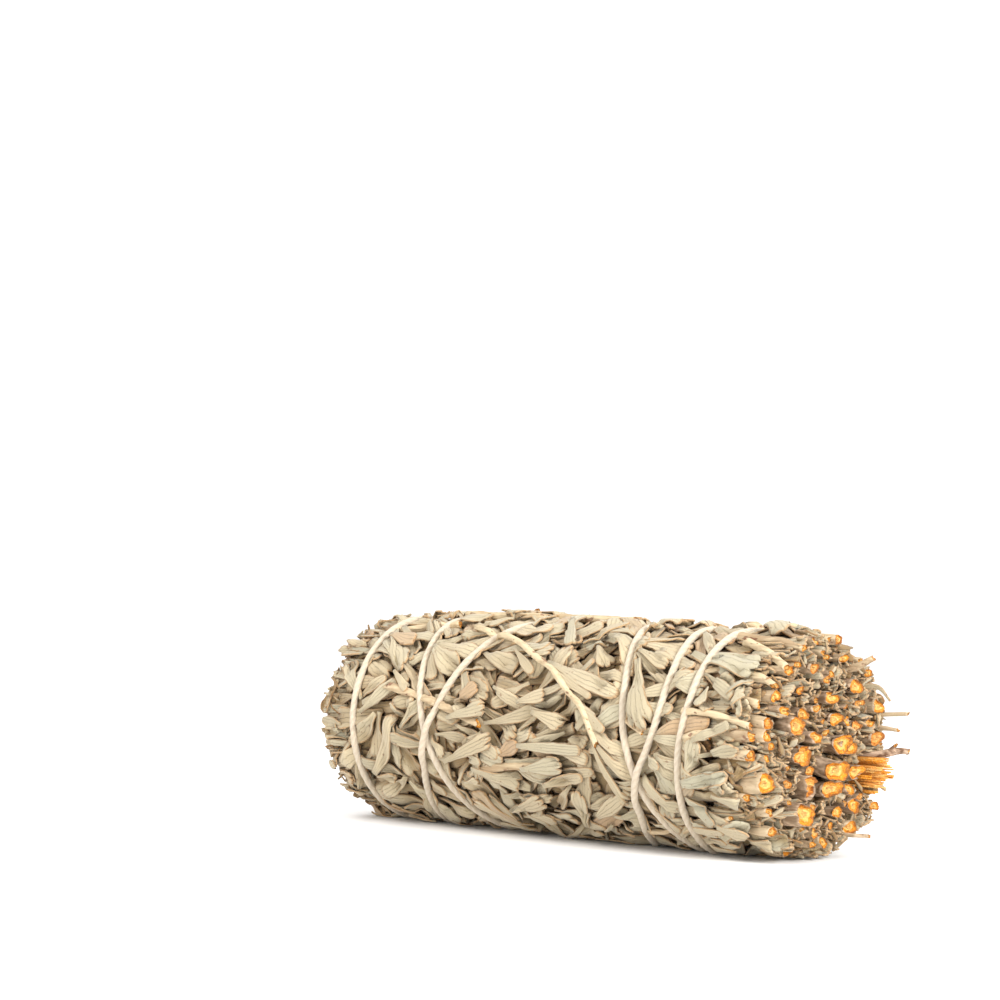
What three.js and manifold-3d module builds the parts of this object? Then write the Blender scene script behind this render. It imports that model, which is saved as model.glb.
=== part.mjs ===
// A bundle of dried blue sage, lying on its side and bound with one cotton string.
//
// Nineteen leafy sprigs stand side by side in three rings round the bundle's axis. Each sprig is a
// woody stem, with a side shoot or two, in its own packed mass of leaves. Both ends of the bundle are
// cut off, so stems and leaf ends show there. The leaves of the outer ring lie over each other along
// the side, and three more sprigs lie slantwise on top of them. The string winds to the near end and
// back, crosses itself, and is knotted behind.
//
// Millimetres, +Z up. X runs along the bundle towards the near cut end, and -Y is its front.

import * as THREE from 'three';
import { mergeVertices } from 'three/addons/utils/BufferGeometryUtils.js';
import Module from 'manifold-3d';

const wasm = await Module();
wasm.setup();

// Driving dimensions
const FAR_FACE = -60; // where the leaves end, at the far and the near cut
const NEAR_FACE = 58;
const REACH = 64; // the longest stem's ends, from the middle
const LEAF_RADIUS = 22; // over the topmost leaves
const BLADE = 0.6; // thickness of a leaf
const SHORTEST_LEAF = 7;
const GAP = 0.3; // between pieces that touch
const FLAT_DEPTH = 0.35; // how far the underside is pressed flat
const STRING_DIAMETER = 1.5;
const OUTER_COUNT = 12;
const MIDDLE_COUNT = 6;
const CENTRE_CELL = 5.2; // outer radius of the middle sprig's leaves
const MIDDLE_CELL = 12.8; // and of those in the middle ring
const SEED = 20;

const TURN = Math.PI * 2;
const AXIS_HEIGHT = LEAF_RADIUS - FLAT_DEPTH;

const LEAF_GREEN = new THREE.MeshStandardMaterial({ color: 0xa3a183, roughness: 0.9 });
const STEM_BROWN = new THREE.MeshStandardMaterial({ color: 0xb5a184, roughness: 0.85 });
const STRING_WHITE = new THREE.MeshStandardMaterial({ color: 0xe6ddd0, roughness: 0.95 });

// The same draws on every run: a small 32-bit generator.
let state = SEED;
function draw(low, high) {
  state = (state + 0x6d2b79f5) | 0;
  let t = Math.imul(state ^ (state >>> 15), 1 | state);
  t = (t + Math.imul(t ^ (t >>> 7), 61 | t)) ^ t;
  return low + ((high - low) * ((t ^ (t >>> 14)) >>> 0)) / 4294967296;
}

// A closed geometry as a solid, and a solid as a geometry.
function solidOf(geometry) {
  const bare = geometry.clone();
  bare.deleteAttribute('normal');
  bare.deleteAttribute('uv');
  const merged = mergeVertices(bare, 1e-4);
  return new wasm.Manifold(
    new wasm.Mesh({
      numProp: 3,
      vertProperties: new Float32Array(merged.attributes.position.array),
      triVerts: new Uint32Array(merged.index.array),
    }),
  );
}

function geometryOf(solid) {
  const mesh = solid.getMesh();
  const geometry = new THREE.BufferGeometry();
  geometry.setAttribute('position', new THREE.Float32BufferAttribute(mesh.vertProperties, 3));
  geometry.setIndex(Array.from(mesh.triVerts));
  geometry.computeVertexNormals();
  return geometry;
}

function joined(solids) {
  return solids.reduce((all, next) => all.add(next));
}

// The largest piece of a solid, without the scraps that a cut leaves loose.
function withoutScraps(solid) {
  return solid.decompose().reduce((a, b) => (b.volume() > a.volume() ? b : a));
}

// A point of the bundle: x along it, an angle round it (0 at the front, rising over the top) and a radius.
function onBundle(x, angle, radius) {
  return new THREE.Vector3(x, -radius * Math.cos(angle), AXIS_HEIGHT + radius * Math.sin(angle));
}

// Moves each vertex of a geometry by a rule.
function bent(geometry, rule) {
  const position = geometry.attributes.position;
  const point = new THREE.Vector3();
  for (let i = 0; i < position.count; i += 1) {
    point.fromBufferAttribute(position, i);
    const moved = rule(point);
    position.setXYZ(i, moved.x, moved.y, moved.z);
  }
  return geometry;
}

// A round rod between two points.
function rod(from, to, fromRadius, toRadius, sides) {
  const length = from.distanceTo(to);
  const geometry = new THREE.CylinderGeometry(toRadius, fromRadius, length, sides, 1);
  const along = to.clone().sub(from).normalize();
  const turn = new THREE.Quaternion().setFromUnitVectors(new THREE.Vector3(0, 1, 0), along);
  geometry.applyQuaternion(turn);
  const middle = from.clone().add(to).multiplyScalar(0.5);
  geometry.translate(middle.x, middle.y, middle.z);
  return solidOf(geometry);
}

// The string's route, from its knot behind, twice round towards the near end and back again:
// the angle that it has reached, in degrees, and where it is along the bundle.
const STRING_ROUTE = [
  [510, -41], [441, -36], [360, -28], [270, -15], [180, 0], [120, 10], [81, 16.3], [35, 23.4], [4, 26.1],
  [-21, 28.6], [-58, 32.5], [-90, 33.4], [-120, 34], [-160, 35.6], [-200, 38], [-250, 40.2], [-288, 40.9],
  [-335, 41], [-367, 39.5], [-400, 37.6], [-425, 36.7], [-450, 36.6], [-480, 36.8], [-520, 35.8],
  [-560, 33.6], [-600, 31.6], [-636, 31.3], [-680, 34.2], [-702, 34.3], [-716, 33.1], [-743, 28.5],
  [-775, 24.2], [-840, 14], [-900, 4.5], [-990, -11], [-1080, -26], [-1170, -37], [-1260, -44.5],
  [-1350, -48], [-1440, -49], [-1530, -48], [-1600, -45.2], [-1650, -42],
];
const STRING_START = STRING_ROUTE[0][0];
const STRING_END = STRING_ROUTE[STRING_ROUTE.length - 1][0];
const STRING_STEPS = 168;
const STRING_AT = LEAF_RADIUS + GAP + STRING_DIAMETER / 2; // distance of the string from the axis
const CROSSING_RISE = 1.7; // how much higher it lies where it crosses itself
const CROSSING_WHOLE = 2; // the rise is whole where the strands are this near each other along the bundle
const CROSSING_ENDS = 5.5; // and there is none where they are this far apart
const STRING_CLEAR = 0.1; // between the string and the ground

function smooth(value) {
  const t = Math.min(Math.max(value, 0), 1);
  return t * t * (3 - 2 * t);
}

// Where the string is along the bundle, once it has turned by an angle.
function stringAlong(turned) {
  const i = Math.max(STRING_ROUTE.findIndex(([angle]) => angle <= turned), 1);
  const [a, b] = [STRING_ROUTE[i - 1], STRING_ROUTE[i]];
  const before = STRING_ROUTE[Math.max(i - 2, 0)];
  const after = STRING_ROUTE[Math.min(i + 1, STRING_ROUTE.length - 1)];
  const span = b[0] - a[0];
  const t = (turned - a[0]) / span;
  const slopeA = ((b[1] - before[1]) / (b[0] - before[0])) * span;
  const slopeB = ((after[1] - a[1]) / (after[0] - a[0])) * span;
  return a[1] * (1 - smooth(t)) + b[1] * smooth(t)
    + slopeA * t * (1 - t) ** 2 - slopeB * t * t * (1 - t);
}

// A stretch of the route in space. Where the string crosses itself, the later turn rides over the
// earlier one. Below the bundle it is pressed up into the leaves, clear of the ground.
class StringRoute extends THREE.Curve {
  constructor(from, to) {
    super();
    this.from = from;
    this.to = to;
  }

  getPoint(share) {
    const turned = this.from + share * (this.to - this.from);
    const x = stringAlong(turned);
    let radius = STRING_AT;
    for (let earlier = turned + 360; earlier <= STRING_START; earlier += 360) {
      const apart = Math.abs(stringAlong(earlier) - x);
      const near = smooth((CROSSING_ENDS - apart) / (CROSSING_ENDS - CROSSING_WHOLE));
      radius = Math.max(radius, STRING_AT + CROSSING_RISE * near);
    }
    const angle = (turned * TURN) / 360;
    const down = Math.max(-Math.sin(angle), 0.01);
    const lowest = AXIS_HEIGHT - STRING_DIAMETER / 2 - STRING_CLEAR;
    return onBundle(x, angle, Math.min(radius, lowest / down));
  }
}

function stringStretch(from, to, steps, radius) {
  const section = new THREE.Shape();
  section.absellipse(0, 0, radius, radius, 0, TURN, false, 0);
  return solidOf(new THREE.ExtrudeGeometry(section, {
    extrudePath: new StringRoute(from, to), steps, curveSegments: 3,
  }));
}

// The knot behind, where both ends of the string cross, and its two tails.
const KNOT_TURNED = 510;
const KNOT_SIZE = [2.2, 2.6, 1.6]; // to each side: along the bundle, round it and out of it
const KNOT_RISE = 0.85; // of the knot's middle over the string
const KNOT_AT = STRING_AT + KNOT_RISE;
const TAILS = [
  [[0, 0], [-2.5, 6], [-6, 10], [-10, 11.5]],
  [[0, 0], [3.5, -4], [7, -6], [11.5, -5]],
]; // how far each tail goes along and round the bundle

function stringKnot() {
  const angle = (KNOT_TURNED * TURN) / 360;
  const x = stringAlong(KNOT_TURNED);
  const lump = bent(new THREE.SphereGeometry(1, 7, 5), (p) => onBundle(
    x + p.x * KNOT_SIZE[0], angle + (p.y * KNOT_SIZE[1]) / KNOT_AT, KNOT_AT + p.z * KNOT_SIZE[2],
  ));
  const section = new THREE.Shape();
  section.absellipse(0, 0, STRING_DIAMETER / 2, STRING_DIAMETER / 2, 0, TURN, false, 0);
  const tails = TAILS.map((points) => new THREE.ExtrudeGeometry(section, {
    extrudePath: new THREE.CatmullRomCurve3(points.map(
      ([along, round]) => onBundle(x + along, angle + round / STRING_AT, STRING_AT),
    )),
    steps: 3,
    curveSegments: 3,
  }));
  return joined([lump, ...tails].map(solidOf));
}

// The room that the string takes up below the bundle, where it is pressed into the leaves.
const PRESSED_SPAN = 48; // degrees to each side of straight down
const BELOW = [270, -90, -450, -810, -1170, -1530]; // where the string passes straight down
const ROOM_STEPS = 8;
const ROOM_GAP = 0.42; // all round the string, which is faceted there too

function roomForString() {
  const radius = STRING_DIAMETER / 2 + ROOM_GAP;
  const stretches = BELOW.map((down) => (
    stringStretch(down + PRESSED_SPAN, down - PRESSED_SPAN, ROOM_STEPS, radius)
  ));
  return joined(stretches);
}

// The sprigs: each has a cell of the bundle's round section, and a stem in it.
// The outer ring's leaf masses are by turns high and low, so that the leaves of a high one
// can lie out over its low neighbours and stay clear of them. Each plan gives the outer radius of the
// mass, the radius at the leaves' roots, how steeply they rise, the step from one to the next, how far
// they lean, the share of toothed ones, and the least and greatest length and width.
const RISE = 0.145;
const HIGH = {
  mass: 20.3, root: 19.35, step: 5.7, lean: 0.62, toothed: 0.65, length: [15, 18.5], width: [5.8, 7.8],
};
const LOW = {
  mass: 18.6, root: 17.6, step: 8.5, lean: 0.12, toothed: 0, length: [12.5, 14.5], width: [5.4, 7],
};
const STEM_OFF = 0.4; // the most that a stem stands off the middle of its cell
const MIDDLE_STEMS = [1.3, 2.0]; // radii of the stems in the middle ring and the outer one
const OUTER_STEMS = [1.1, 1.7];

function ringOfSprigs(name, count, inner, outerOf, firstAngle, stemRadii) {
  return Array.from({ length: count }, (_, k) => ({
    name: `${name}_${String(k + 1).padStart(2, '0')}`,
    angle: firstAngle + (k * TURN) / count,
    half: TURN / count / 2,
    inner,
    outer: outerOf(k),
    side: null,
    stemAt: (inner + outerOf(k)) / 2 + draw(-STEM_OFF, STEM_OFF),
    stemRadius: draw(...stemRadii),
  }));
}

const CENTRE = {
  name: 'centre', angle: 0, half: Math.PI, inner: 0, outer: CENTRE_CELL, stemAt: 0, stemRadius: 1.9,
};
const MIDDLE_FROM = 0.3; // angle of the middle ring's first sprig
const MIDDLE = ringOfSprigs(
  'middle', MIDDLE_COUNT, CENTRE_CELL + GAP, () => MIDDLE_CELL, MIDDLE_FROM, MIDDLE_STEMS,
);
const planOf = (k) => (k % 2 === 0 ? HIGH : LOW);
const OUTER = ringOfSprigs(
  'outer', OUTER_COUNT, MIDDLE_CELL + GAP, (k) => planOf(k).mass, -TURN / 4, OUTER_STEMS,
);
OUTER.forEach((sprig, k) => {
  sprig.side = planOf(k);
});

// A stem runs right through the bundle and stands out of both cuts.
// A side shoot leaves it inside and comes out beside it.
const STEM_SIDES = 7;
const SHOOT_SIDES = 5;
const STEM_TAPER = 0.9; // a stem's near end, as a share of its far end
const SHOOT_ASIDE = 1.7; // from a stem's bark to the middle of its shoot's end
const SHOOT_BEARING = 0.25; // how far a shoot leaves the ring's line, in radians
const SHOOT_LENGTH = [14, 20]; // inside the bundle
const SHOOT_PROUD = [0.4, 3.4]; // out of the cut
const SHOOT_RADIUS = [0.6, 0.85];

function stemRods(sprig, reachFar, reachNear, shoots, extra) {
  const far = onBundle(reachFar - extra, sprig.angle, sprig.stemAt);
  const near = onBundle(reachNear + extra, sprig.angle, sprig.stemAt);
  const nearRadius = sprig.stemRadius * STEM_TAPER + extra;
  const rods = [rod(far, near, sprig.stemRadius + extra, nearRadius, STEM_SIDES)];
  for (const shoot of shoots) {
    const root = onBundle(shoot.root, sprig.angle, sprig.stemAt);
    const tip = onBundle(shoot.tip + Math.sign(shoot.tip) * extra,
      sprig.angle + shoot.turn, sprig.stemAt + shoot.out);
    rods.push(rod(root, tip, shoot.radius + extra, shoot.radius + extra, SHOOT_SIDES));
  }
  return joined(rods);
}

function shootsOf(sprig) {
  const aside = sprig.stemRadius + SHOOT_ASIDE;
  const bearing = draw(-SHOOT_BEARING, SHOOT_BEARING);
  return [1, -1].map((end) => {
    const across = end * aside * Math.cos(bearing);
    const face = end > 0 ? NEAR_FACE : FAR_FACE;
    return {
      root: face - end * draw(...SHOOT_LENGTH),
      tip: face + end * draw(...SHOOT_PROUD),
      turn: across / sprig.stemAt,
      out: aside * Math.sin(bearing),
      radius: draw(...SHOOT_RADIUS),
    };
  });
}

// The packed leaves of one sprig: its cell of the section, as long as the bundle.
const OUTER_ARC_STEPS = 4;
const INNER_ARC_STEPS = 2;

function cellShape(sprig) {
  const shape = new THREE.Shape();
  if (sprig.inner === 0) {
    shape.absellipse(0, 0, sprig.outer, sprig.outer, 0, TURN, false, 0);
    return shape;
  }
  const arc = (radius, steps) => Array.from({ length: steps + 1 }, (_, i) => {
    const angle = (sprig.half - Math.asin(GAP / 2 / radius)) * ((2 * i) / steps - 1);
    return new THREE.Vector2(radius * Math.cos(angle), radius * Math.sin(angle));
  });
  const inner = arc(sprig.inner, INNER_ARC_STEPS).reverse();
  shape.setFromPoints([...arc(sprig.outer, OUTER_ARC_STEPS), ...inner]);
  return shape;
}

function packedLeaves(sprig, farEnd, nearEnd) {
  const geometry = new THREE.ExtrudeGeometry(cellShape(sprig), {
    depth: nearEnd - farEnd, steps: 1, bevelEnabled: false, curveSegments: 5,
  });
  bent(geometry, (p) => {
    const radius = Math.hypot(p.x, p.y);
    return onBundle(farEnd + p.z, sprig.angle - Math.atan2(p.y, p.x), radius);
  });
  return solidOf(geometry);
}

// A leaf's outline: a narrow root that widens to three blunt teeth, or to a plain rounded tip.
function leafShape(length, width, toothed) {
  const tip = toothed
    ? [[0.66, 0.4], [0.93, 0.5], [0.85, 0.2], [1, 0], [0.86, -0.22], [0.94, -0.48], [0.66, -0.4]]
    : [[0.6, 0.42], [0.93, 0.3], [1, -0.05], [0.9, -0.36], [0.55, -0.42]];
  const root = [[0, -0.13], [0, 0.13]];
  return new THREE.Shape([...root, ...tip].map(([a, b]) => new THREE.Vector2(a * length, b * width)));
}

// A leaf laid on the bundle: its root is sunk in the packed leaves, and its blade rises along the
// bundle at the rate that all its sprig's leaves share, so that they lie like shingles.
function leafOnSide(leaf) {
  const geometry = new THREE.ExtrudeGeometry(leafShape(leaf.length, leaf.width, leaf.toothed), {
    depth: BLADE, steps: 1, bevelEnabled: false,
  });
  bent(geometry, (p) => {
    const along = p.x * Math.cos(leaf.lean) - p.y * Math.sin(leaf.lean);
    const arc = leaf.arc + p.x * Math.sin(leaf.lean) + p.y * Math.cos(leaf.lean);
    const radius = leaf.root + RISE * along + p.z - BLADE / 2;
    return onBundle(leaf.x + along, leaf.angle + arc / LEAF_RADIUS, radius);
  });
  return solidOf(geometry);
}

// Where the string next crosses below the bundle at an angle, past a place along it.
function nextString(x, angle) {
  const degrees = (angle * 360) / TURN;
  if (Math.abs(degrees + 90) > PRESSED_SPAN) return Infinity;
  const passes = BELOW.map((down) => stringAlong(down + degrees + 90)).filter((pass) => pass > x);
  return Math.min(...passes, Infinity);
}

// The leaves along a sprig's side lean by turns to the left and to the right. Those of a high mass
// fan out over its neighbours, and those of a low mass keep to their own cell. A leaf ends short of
// the string, and where that leaves it no room the next one starts past the string.
const FIRST_LEAF = FAR_FACE + 0.5;
const LAST_LEAF = NEAR_FACE - 9;
const STEP_SPREAD = 0.15; // how much longer a step may be, as a share of it
const BEFORE_STRING = 1.3;
const PAST_STRING = 1.1;
const HIGH_ROOT_ASIDE = 4; // the most that a root stands off its sprig's middle, away from the lean
const LOW_ROOT_ASIDE = [0.2, 1.2]; // and towards the lean

function sideLeaves(sprig) {
  const plan = sprig.side;
  const leaves = [];
  let turn = 1;
  let x = FIRST_LEAF;
  while (x < LAST_LEAF) {
    const share = draw(0.2, 1);
    const lean = turn * share * plan.lean;
    const across = sprig.angle + (0.4 * draw(...plan.length) * Math.sin(lean)) / LEAF_RADIUS;
    const string = nextString(x, across) - BEFORE_STRING;
    const end = Math.min(x + draw(...plan.length), NEAR_FACE + draw(-1, 1), string);
    const length = (end - x) / Math.cos(lean);
    if (length < SHORTEST_LEAF) {
      x = end + BEFORE_STRING + PAST_STRING + plan.step * draw(0, STEP_SPREAD);
    } else {
      leaves.push({
        x, length, lean,
        root: plan.root,
        angle: sprig.angle,
        arc: plan === HIGH ? -turn * share * HIGH_ROOT_ASIDE : turn * draw(...LOW_ROOT_ASIDE),
        width: draw(...plan.width),
        toothed: draw(0, 1) < plan.toothed,
      });
      turn = -turn;
      x += plan.step * draw(1, 1 + STEP_SPREAD);
    }
  }
  return leaves.map(leafOnSide);
}

// The cut leaf ends that stand in a cell's end face: thin strips, curled a little.
const STRIP_WIDTH = [2.4, 3.4];
const CENTRE_STRIP_WIDTH = [1.5, 1.9];
const STRIPS = 3; // in each end of a cell
const CENTRE_STRIPS = 2;
const STRIP_TRIES = 300;
const STRIP_MARGIN = 0.25; // inside the cell's edge
const STRIPS_APART = 2.1; // from middle to middle
const STRIP_ARCH = [0.25, 0.7];
const STRIP_PROUD = [1.6, 3.8];
const STRIP_SUNK = 1.5;
const STRIP_INSIDE = 0.86; // width of a strip's hollow side, as a share of its whole width
const STRIP_THICKNESS = BLADE * 1.1;

function cutLeafEnds(sprig, rods, end, faceAt) {
  const strips = [];
  const taken = [];
  const wanted = sprig.inner === 0 ? CENTRE_STRIPS : STRIPS;
  for (let tries = 0; tries < STRIP_TRIES && taken.length < wanted; tries += 1) {
    const chord = draw(...(sprig.inner === 0 ? CENTRE_STRIP_WIDTH : STRIP_WIDTH));
    const margin = chord / 2 + STRIP_MARGIN;
    const radius = draw(sprig.inner + margin, sprig.outer - margin);
    const room = Math.sin(Math.min(sprig.half, TURN / 4)) * radius - margin;
    const angle = sprig.inner === 0 ? draw(0, TURN) : draw(-1, 1) * Math.asin(Math.max(room, 0) / radius);
    const at = onBundle(0, sprig.angle + angle, radius);
    const free = rods.every((r) => Math.hypot(r.y - at.y, r.z - at.z) > r.radius + GAP + margin)
      && taken.every((t) => Math.hypot(t.y - at.y, t.z - at.z) > STRIPS_APART);
    if (room > 0 && free) {
      taken.push(at);
      strips.push(leafStrip(at, chord, draw(0, TURN), end, faceAt));
    }
  }
  return strips;
}

function leafStrip(at, chord, turn, end, faceAt) {
  const arch = draw(...STRIP_ARCH);
  const outline = [[-0.5, 0], [0, arch], [0.5, 0]].map(([u, v]) => [u * chord, v]);
  const back = outline.map(([u, v]) => [u * STRIP_INSIDE, v - STRIP_THICKNESS]).reverse();
  const shape = new THREE.Shape([...outline, ...back].map(([u, v]) => new THREE.Vector2(u, v)));
  const proud = draw(...STRIP_PROUD);
  const geometry = new THREE.ExtrudeGeometry(shape, {
    depth: STRIP_SUNK + proud, steps: 1, bevelEnabled: false,
  });
  const start = end > 0 ? faceAt - STRIP_SUNK : faceAt - proud;
  bent(geometry, (p) => {
    const y = at.y + p.x * Math.cos(turn) - p.y * Math.sin(turn);
    const z = at.z + p.x * Math.sin(turn) + p.y * Math.cos(turn);
    return new THREE.Vector3(start + p.z, y, z);
  });
  return solidOf(geometry);
}

// One bundled sprig: its stem, and its leaves with plain holes where the stem and its shoots run.
const MASS_BACK = [1.8, 3.4]; // how far behind the cut leaf ends the packed leaves end
const FAR_PROUD = [0.3, 3.2]; // how far stems stand out of the two cuts
const NEAR_PROUD = [0.5, 4.6];
const HOLE_PAST = 2; // how far the tool for a stem's hole reaches past the stem

function buildSprig(sprig) {
  const farEnd = FAR_FACE + draw(...MASS_BACK);
  const nearEnd = NEAR_FACE - draw(...MASS_BACK);
  const longest = sprig === CENTRE;
  const reachFar = longest ? -REACH : FAR_FACE - draw(...FAR_PROUD);
  const reachNear = longest ? REACH : NEAR_FACE + draw(...NEAR_PROUD);
  const shoots = longest ? [] : shootsOf(sprig);
  const stem = stemRods(sprig, reachFar, reachNear, shoots, 0);
  const room = stemRods(sprig, reachFar - HOLE_PAST, reachNear + HOLE_PAST, shoots, GAP);
  const rodAt = (angle, distance, radius) => Object.assign(onBundle(0, angle, distance), { radius });
  const rodsAt = (end) => [
    rodAt(sprig.angle, sprig.stemAt, sprig.stemRadius),
    ...shoots.filter((shoot) => Math.sign(shoot.tip) === end)
      .map((shoot) => rodAt(sprig.angle + shoot.turn, sprig.stemAt + shoot.out, shoot.radius)),
  ];
  const parts = [
    packedLeaves(sprig, farEnd, nearEnd),
    ...cutLeafEnds(sprig, rodsAt(1), 1, nearEnd),
    ...cutLeafEnds(sprig, rodsAt(-1), -1, farEnd),
  ];
  if (sprig.side) parts.push(...sideLeaves(sprig));
  return { stem, leaves: joined(parts).subtract(room) };
}

// The sprigs that lie slantwise on the bundle, held by the string: where each stem's foot and tip are
// (along the bundle, and degrees round it), the lengths of its leaves, and for each leaf its place as
// a share of the stem and the side that it leaves on.
const LAID_STEM = 0.9; // radius
const LAID_TAPER = 0.35; // how much thinner the stem's tip is, as a share of its foot
const LAID_LEAN = [0.45, 0.75]; // between a leaf and the stem
const LAID_WIDTH = 0.42; // of a leaf, as a share of its length
const LAID_TOOTHED = 0.6;
const LAID_RAISED = 0.35; // how far a leaf's root stands over its tip
const LAID_SPRIGS = [
  {
    from: [-11, 53],
    to: [16.5, 3],
    blade: [10, 12],
    leaves: [[0.1, 1], [0.26, -1], [0.42, 1], [0.6, -1], [0.75, 1], [0.97, 0]],
  },
  {
    from: [-34, 128],
    to: [-20.5, 100],
    blade: [7.5, 9.5],
    leaves: [[0.2, -1], [0.4, 1], [0.6, -1], [0.97, 0]],
  },
  {
    from: [16, 228],
    to: [18, 178],
    blade: [8.5, 10],
    leaves: [[0.15, 1], [0.35, -1], [0.55, 1], [0.75, -1], [0.97, 0]],
  },
].map((sprig) => ({
  ...sprig,
  from: [sprig.from[0], (sprig.from[1] * TURN) / 360],
  to: [sprig.to[0], (sprig.to[1] * TURN) / 360],
}));

function laidSprig(sprig) {
  const stemAt = LEAF_RADIUS + GAP + LAID_STEM;
  const bladeAt = LEAF_RADIUS + GAP + BLADE;
  const along = sprig.to[0] - sprig.from[0];
  const round = (sprig.to[1] - sprig.from[1]) * stemAt;
  const reach = Math.hypot(along, round);
  const course = Math.atan2(round, along);
  const section = new THREE.Shape();
  section.absellipse(0, 0, LAID_STEM, LAID_STEM, 0, TURN, false, 0);
  const stem = new THREE.ExtrudeGeometry(section, {
    depth: reach, steps: 4, bevelEnabled: false, curveSegments: 3,
  });
  bent(stem, (p) => {
    const thin = 1 - (LAID_TAPER * p.z) / reach;
    const x = sprig.from[0] + p.z * Math.cos(course) - p.x * thin * Math.sin(course);
    const arc = p.z * Math.sin(course) + p.x * thin * Math.cos(course);
    return onBundle(x, sprig.from[1] + arc / stemAt, stemAt + p.y * thin);
  });
  const blades = sprig.leaves.map(([at, side]) => {
    const lean = course + side * draw(...LAID_LEAN);
    const length = draw(...sprig.blade);
    const shape = leafShape(length, length * LAID_WIDTH, draw(0, 1) < LAID_TOOTHED);
    const blade = new THREE.ExtrudeGeometry(shape, { depth: BLADE, steps: 1, bevelEnabled: false });
    return bent(blade, (p) => {
      const x = sprig.from[0] + at * along + p.x * Math.cos(lean) - p.y * Math.sin(lean);
      const arc = p.x * Math.sin(lean) + p.y * Math.cos(lean);
      const raised = LAID_RAISED * Math.max(0, 1 - (2 * p.x) / length);
      const angle = sprig.from[1] + (at * round + arc) / stemAt;
      return onBundle(x, angle, bladeAt + raised + p.z - BLADE / 2);
    });
  });
  return joined([stem, ...blades].map(solidOf));
}

const group = new THREE.Group();

function addPiece(name, solid, material) {
  const mesh = new THREE.Mesh(geometryOf(solid), material);
  mesh.name = name;
  group.add(mesh);
}

const ground = solidOf(new THREE.BoxGeometry(4 * REACH, 4 * REACH, REACH).translate(0, 0, -REACH / 2));
const cleared = ground.add(roomForString());

for (const sprig of [CENTRE, ...MIDDLE, ...OUTER]) {
  const { stem, leaves } = buildSprig(sprig);
  addPiece(`stem_${sprig.name}`, stem, STEM_BROWN);
  addPiece(`leaves_${sprig.name}`, withoutScraps(leaves.subtract(cleared)), LEAF_GREEN);
}

LAID_SPRIGS.forEach((sprig, i) => addPiece(`sprig_laid_${i + 1}`, laidSprig(sprig), LEAF_GREEN));
const winding = stringStretch(STRING_START, STRING_END, STRING_STEPS, STRING_DIAMETER / 2);
addPiece('string', winding.add(stringKnot()), STRING_WHITE);

export default group;
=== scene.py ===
# A bundle of dried blue sage with cut ends, bound with a cotton string.
#
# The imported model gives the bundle's axis, its two cuts and the place of each sprig. Here each sprig gets
# its real leaves, laid one on another round the side, its stems get bark and cut wood, the cut ends get
# the curled leaves between the stems, and the string gets its twist.
#
# Lengths inside the script are millimetres. A place on the bundle's side is a distance along it (x) and
# an angle round it: 0 at the front, rising over the top.

import math
from dataclasses import dataclass
from functools import cache

import bpy
import numpy as np
from bpy.props import FloatProperty, FloatVectorProperty, IntProperty, PointerProperty
from mathutils import Matrix, Vector


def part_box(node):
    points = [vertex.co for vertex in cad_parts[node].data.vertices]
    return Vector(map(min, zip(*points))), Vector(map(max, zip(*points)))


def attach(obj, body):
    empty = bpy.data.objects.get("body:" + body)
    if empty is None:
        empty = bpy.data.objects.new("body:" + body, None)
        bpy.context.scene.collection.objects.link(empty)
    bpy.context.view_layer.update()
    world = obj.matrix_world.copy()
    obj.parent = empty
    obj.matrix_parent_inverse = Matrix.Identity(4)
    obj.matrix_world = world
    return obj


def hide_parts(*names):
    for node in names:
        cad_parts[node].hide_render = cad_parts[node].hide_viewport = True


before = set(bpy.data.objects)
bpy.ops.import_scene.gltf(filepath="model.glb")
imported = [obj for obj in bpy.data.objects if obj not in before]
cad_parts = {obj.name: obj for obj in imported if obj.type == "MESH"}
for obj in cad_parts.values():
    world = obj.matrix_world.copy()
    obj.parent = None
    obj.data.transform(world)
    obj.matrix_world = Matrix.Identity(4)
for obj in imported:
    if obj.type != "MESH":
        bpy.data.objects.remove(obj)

bl_info = {
    "name": "Dried sage bundle",
    "version": (1, 0, 0),
    "blender": (4, 5, 0),
    "location": "View3D > Sidebar > Sage bundle",
    "description": "Builds a bundle of dried sage with cut ends and a twisted cotton string",
    "category": "Add Mesh",
}

MM = 0.001
TURN = 2 * math.pi

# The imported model


def in_mm(corners):
    """A node's lowest and highest corners, in millimetres."""
    return np.array(corners) / MM


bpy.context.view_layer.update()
CENTRE_STEM = in_mm(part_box("stem_centre"))
AXIS_Y, AXIS_Z = CENTRE_STEM.mean(axis=0)[1:]
LEAF_NODES = sorted(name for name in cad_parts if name.startswith("leaves_"))
OUTER_NODES = [name for name in LEAF_NODES if "outer" in name]
MIDDLE_NODES = [name for name in LEAF_NODES if "middle" in name]
LAID_NODES = sorted(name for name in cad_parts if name.startswith("sprig_laid_"))
STEM_NODES = sorted(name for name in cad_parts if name.startswith("stem_"))
FACE_BULGE = 0.6  # how far the middle of an end stands past its cut
NEAR_CUT = np.mean([in_mm(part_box(name))[1][0] for name in OUTER_NODES]) - FACE_BULGE
FAR_CUT = np.mean([in_mm(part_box(name))[0][0] for name in OUTER_NODES]) + FACE_BULGE
CENTRE_CELL = 5.2  # the middle sprig's leaves fill this much round the axis
MIDDLE_CELL = 12.8  # and the six round it fill up to here

# The bundle's side

SIDE_RADIUS = 21.5  # where arcs round the bundle are measured
LEAF_TOP = 23.0  # no leaf stands further out, away from the string
BED_RADIUS = 18.9  # what the first leaves lie on
CELL = 0.35  # grid of the bed
BED_START = -66.0
BED_END = 66.0
SKIN = 0.03  # air between one leaf and the next
BRIDGED = 0.7  # the deepest hollow that a leaf stands over


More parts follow.
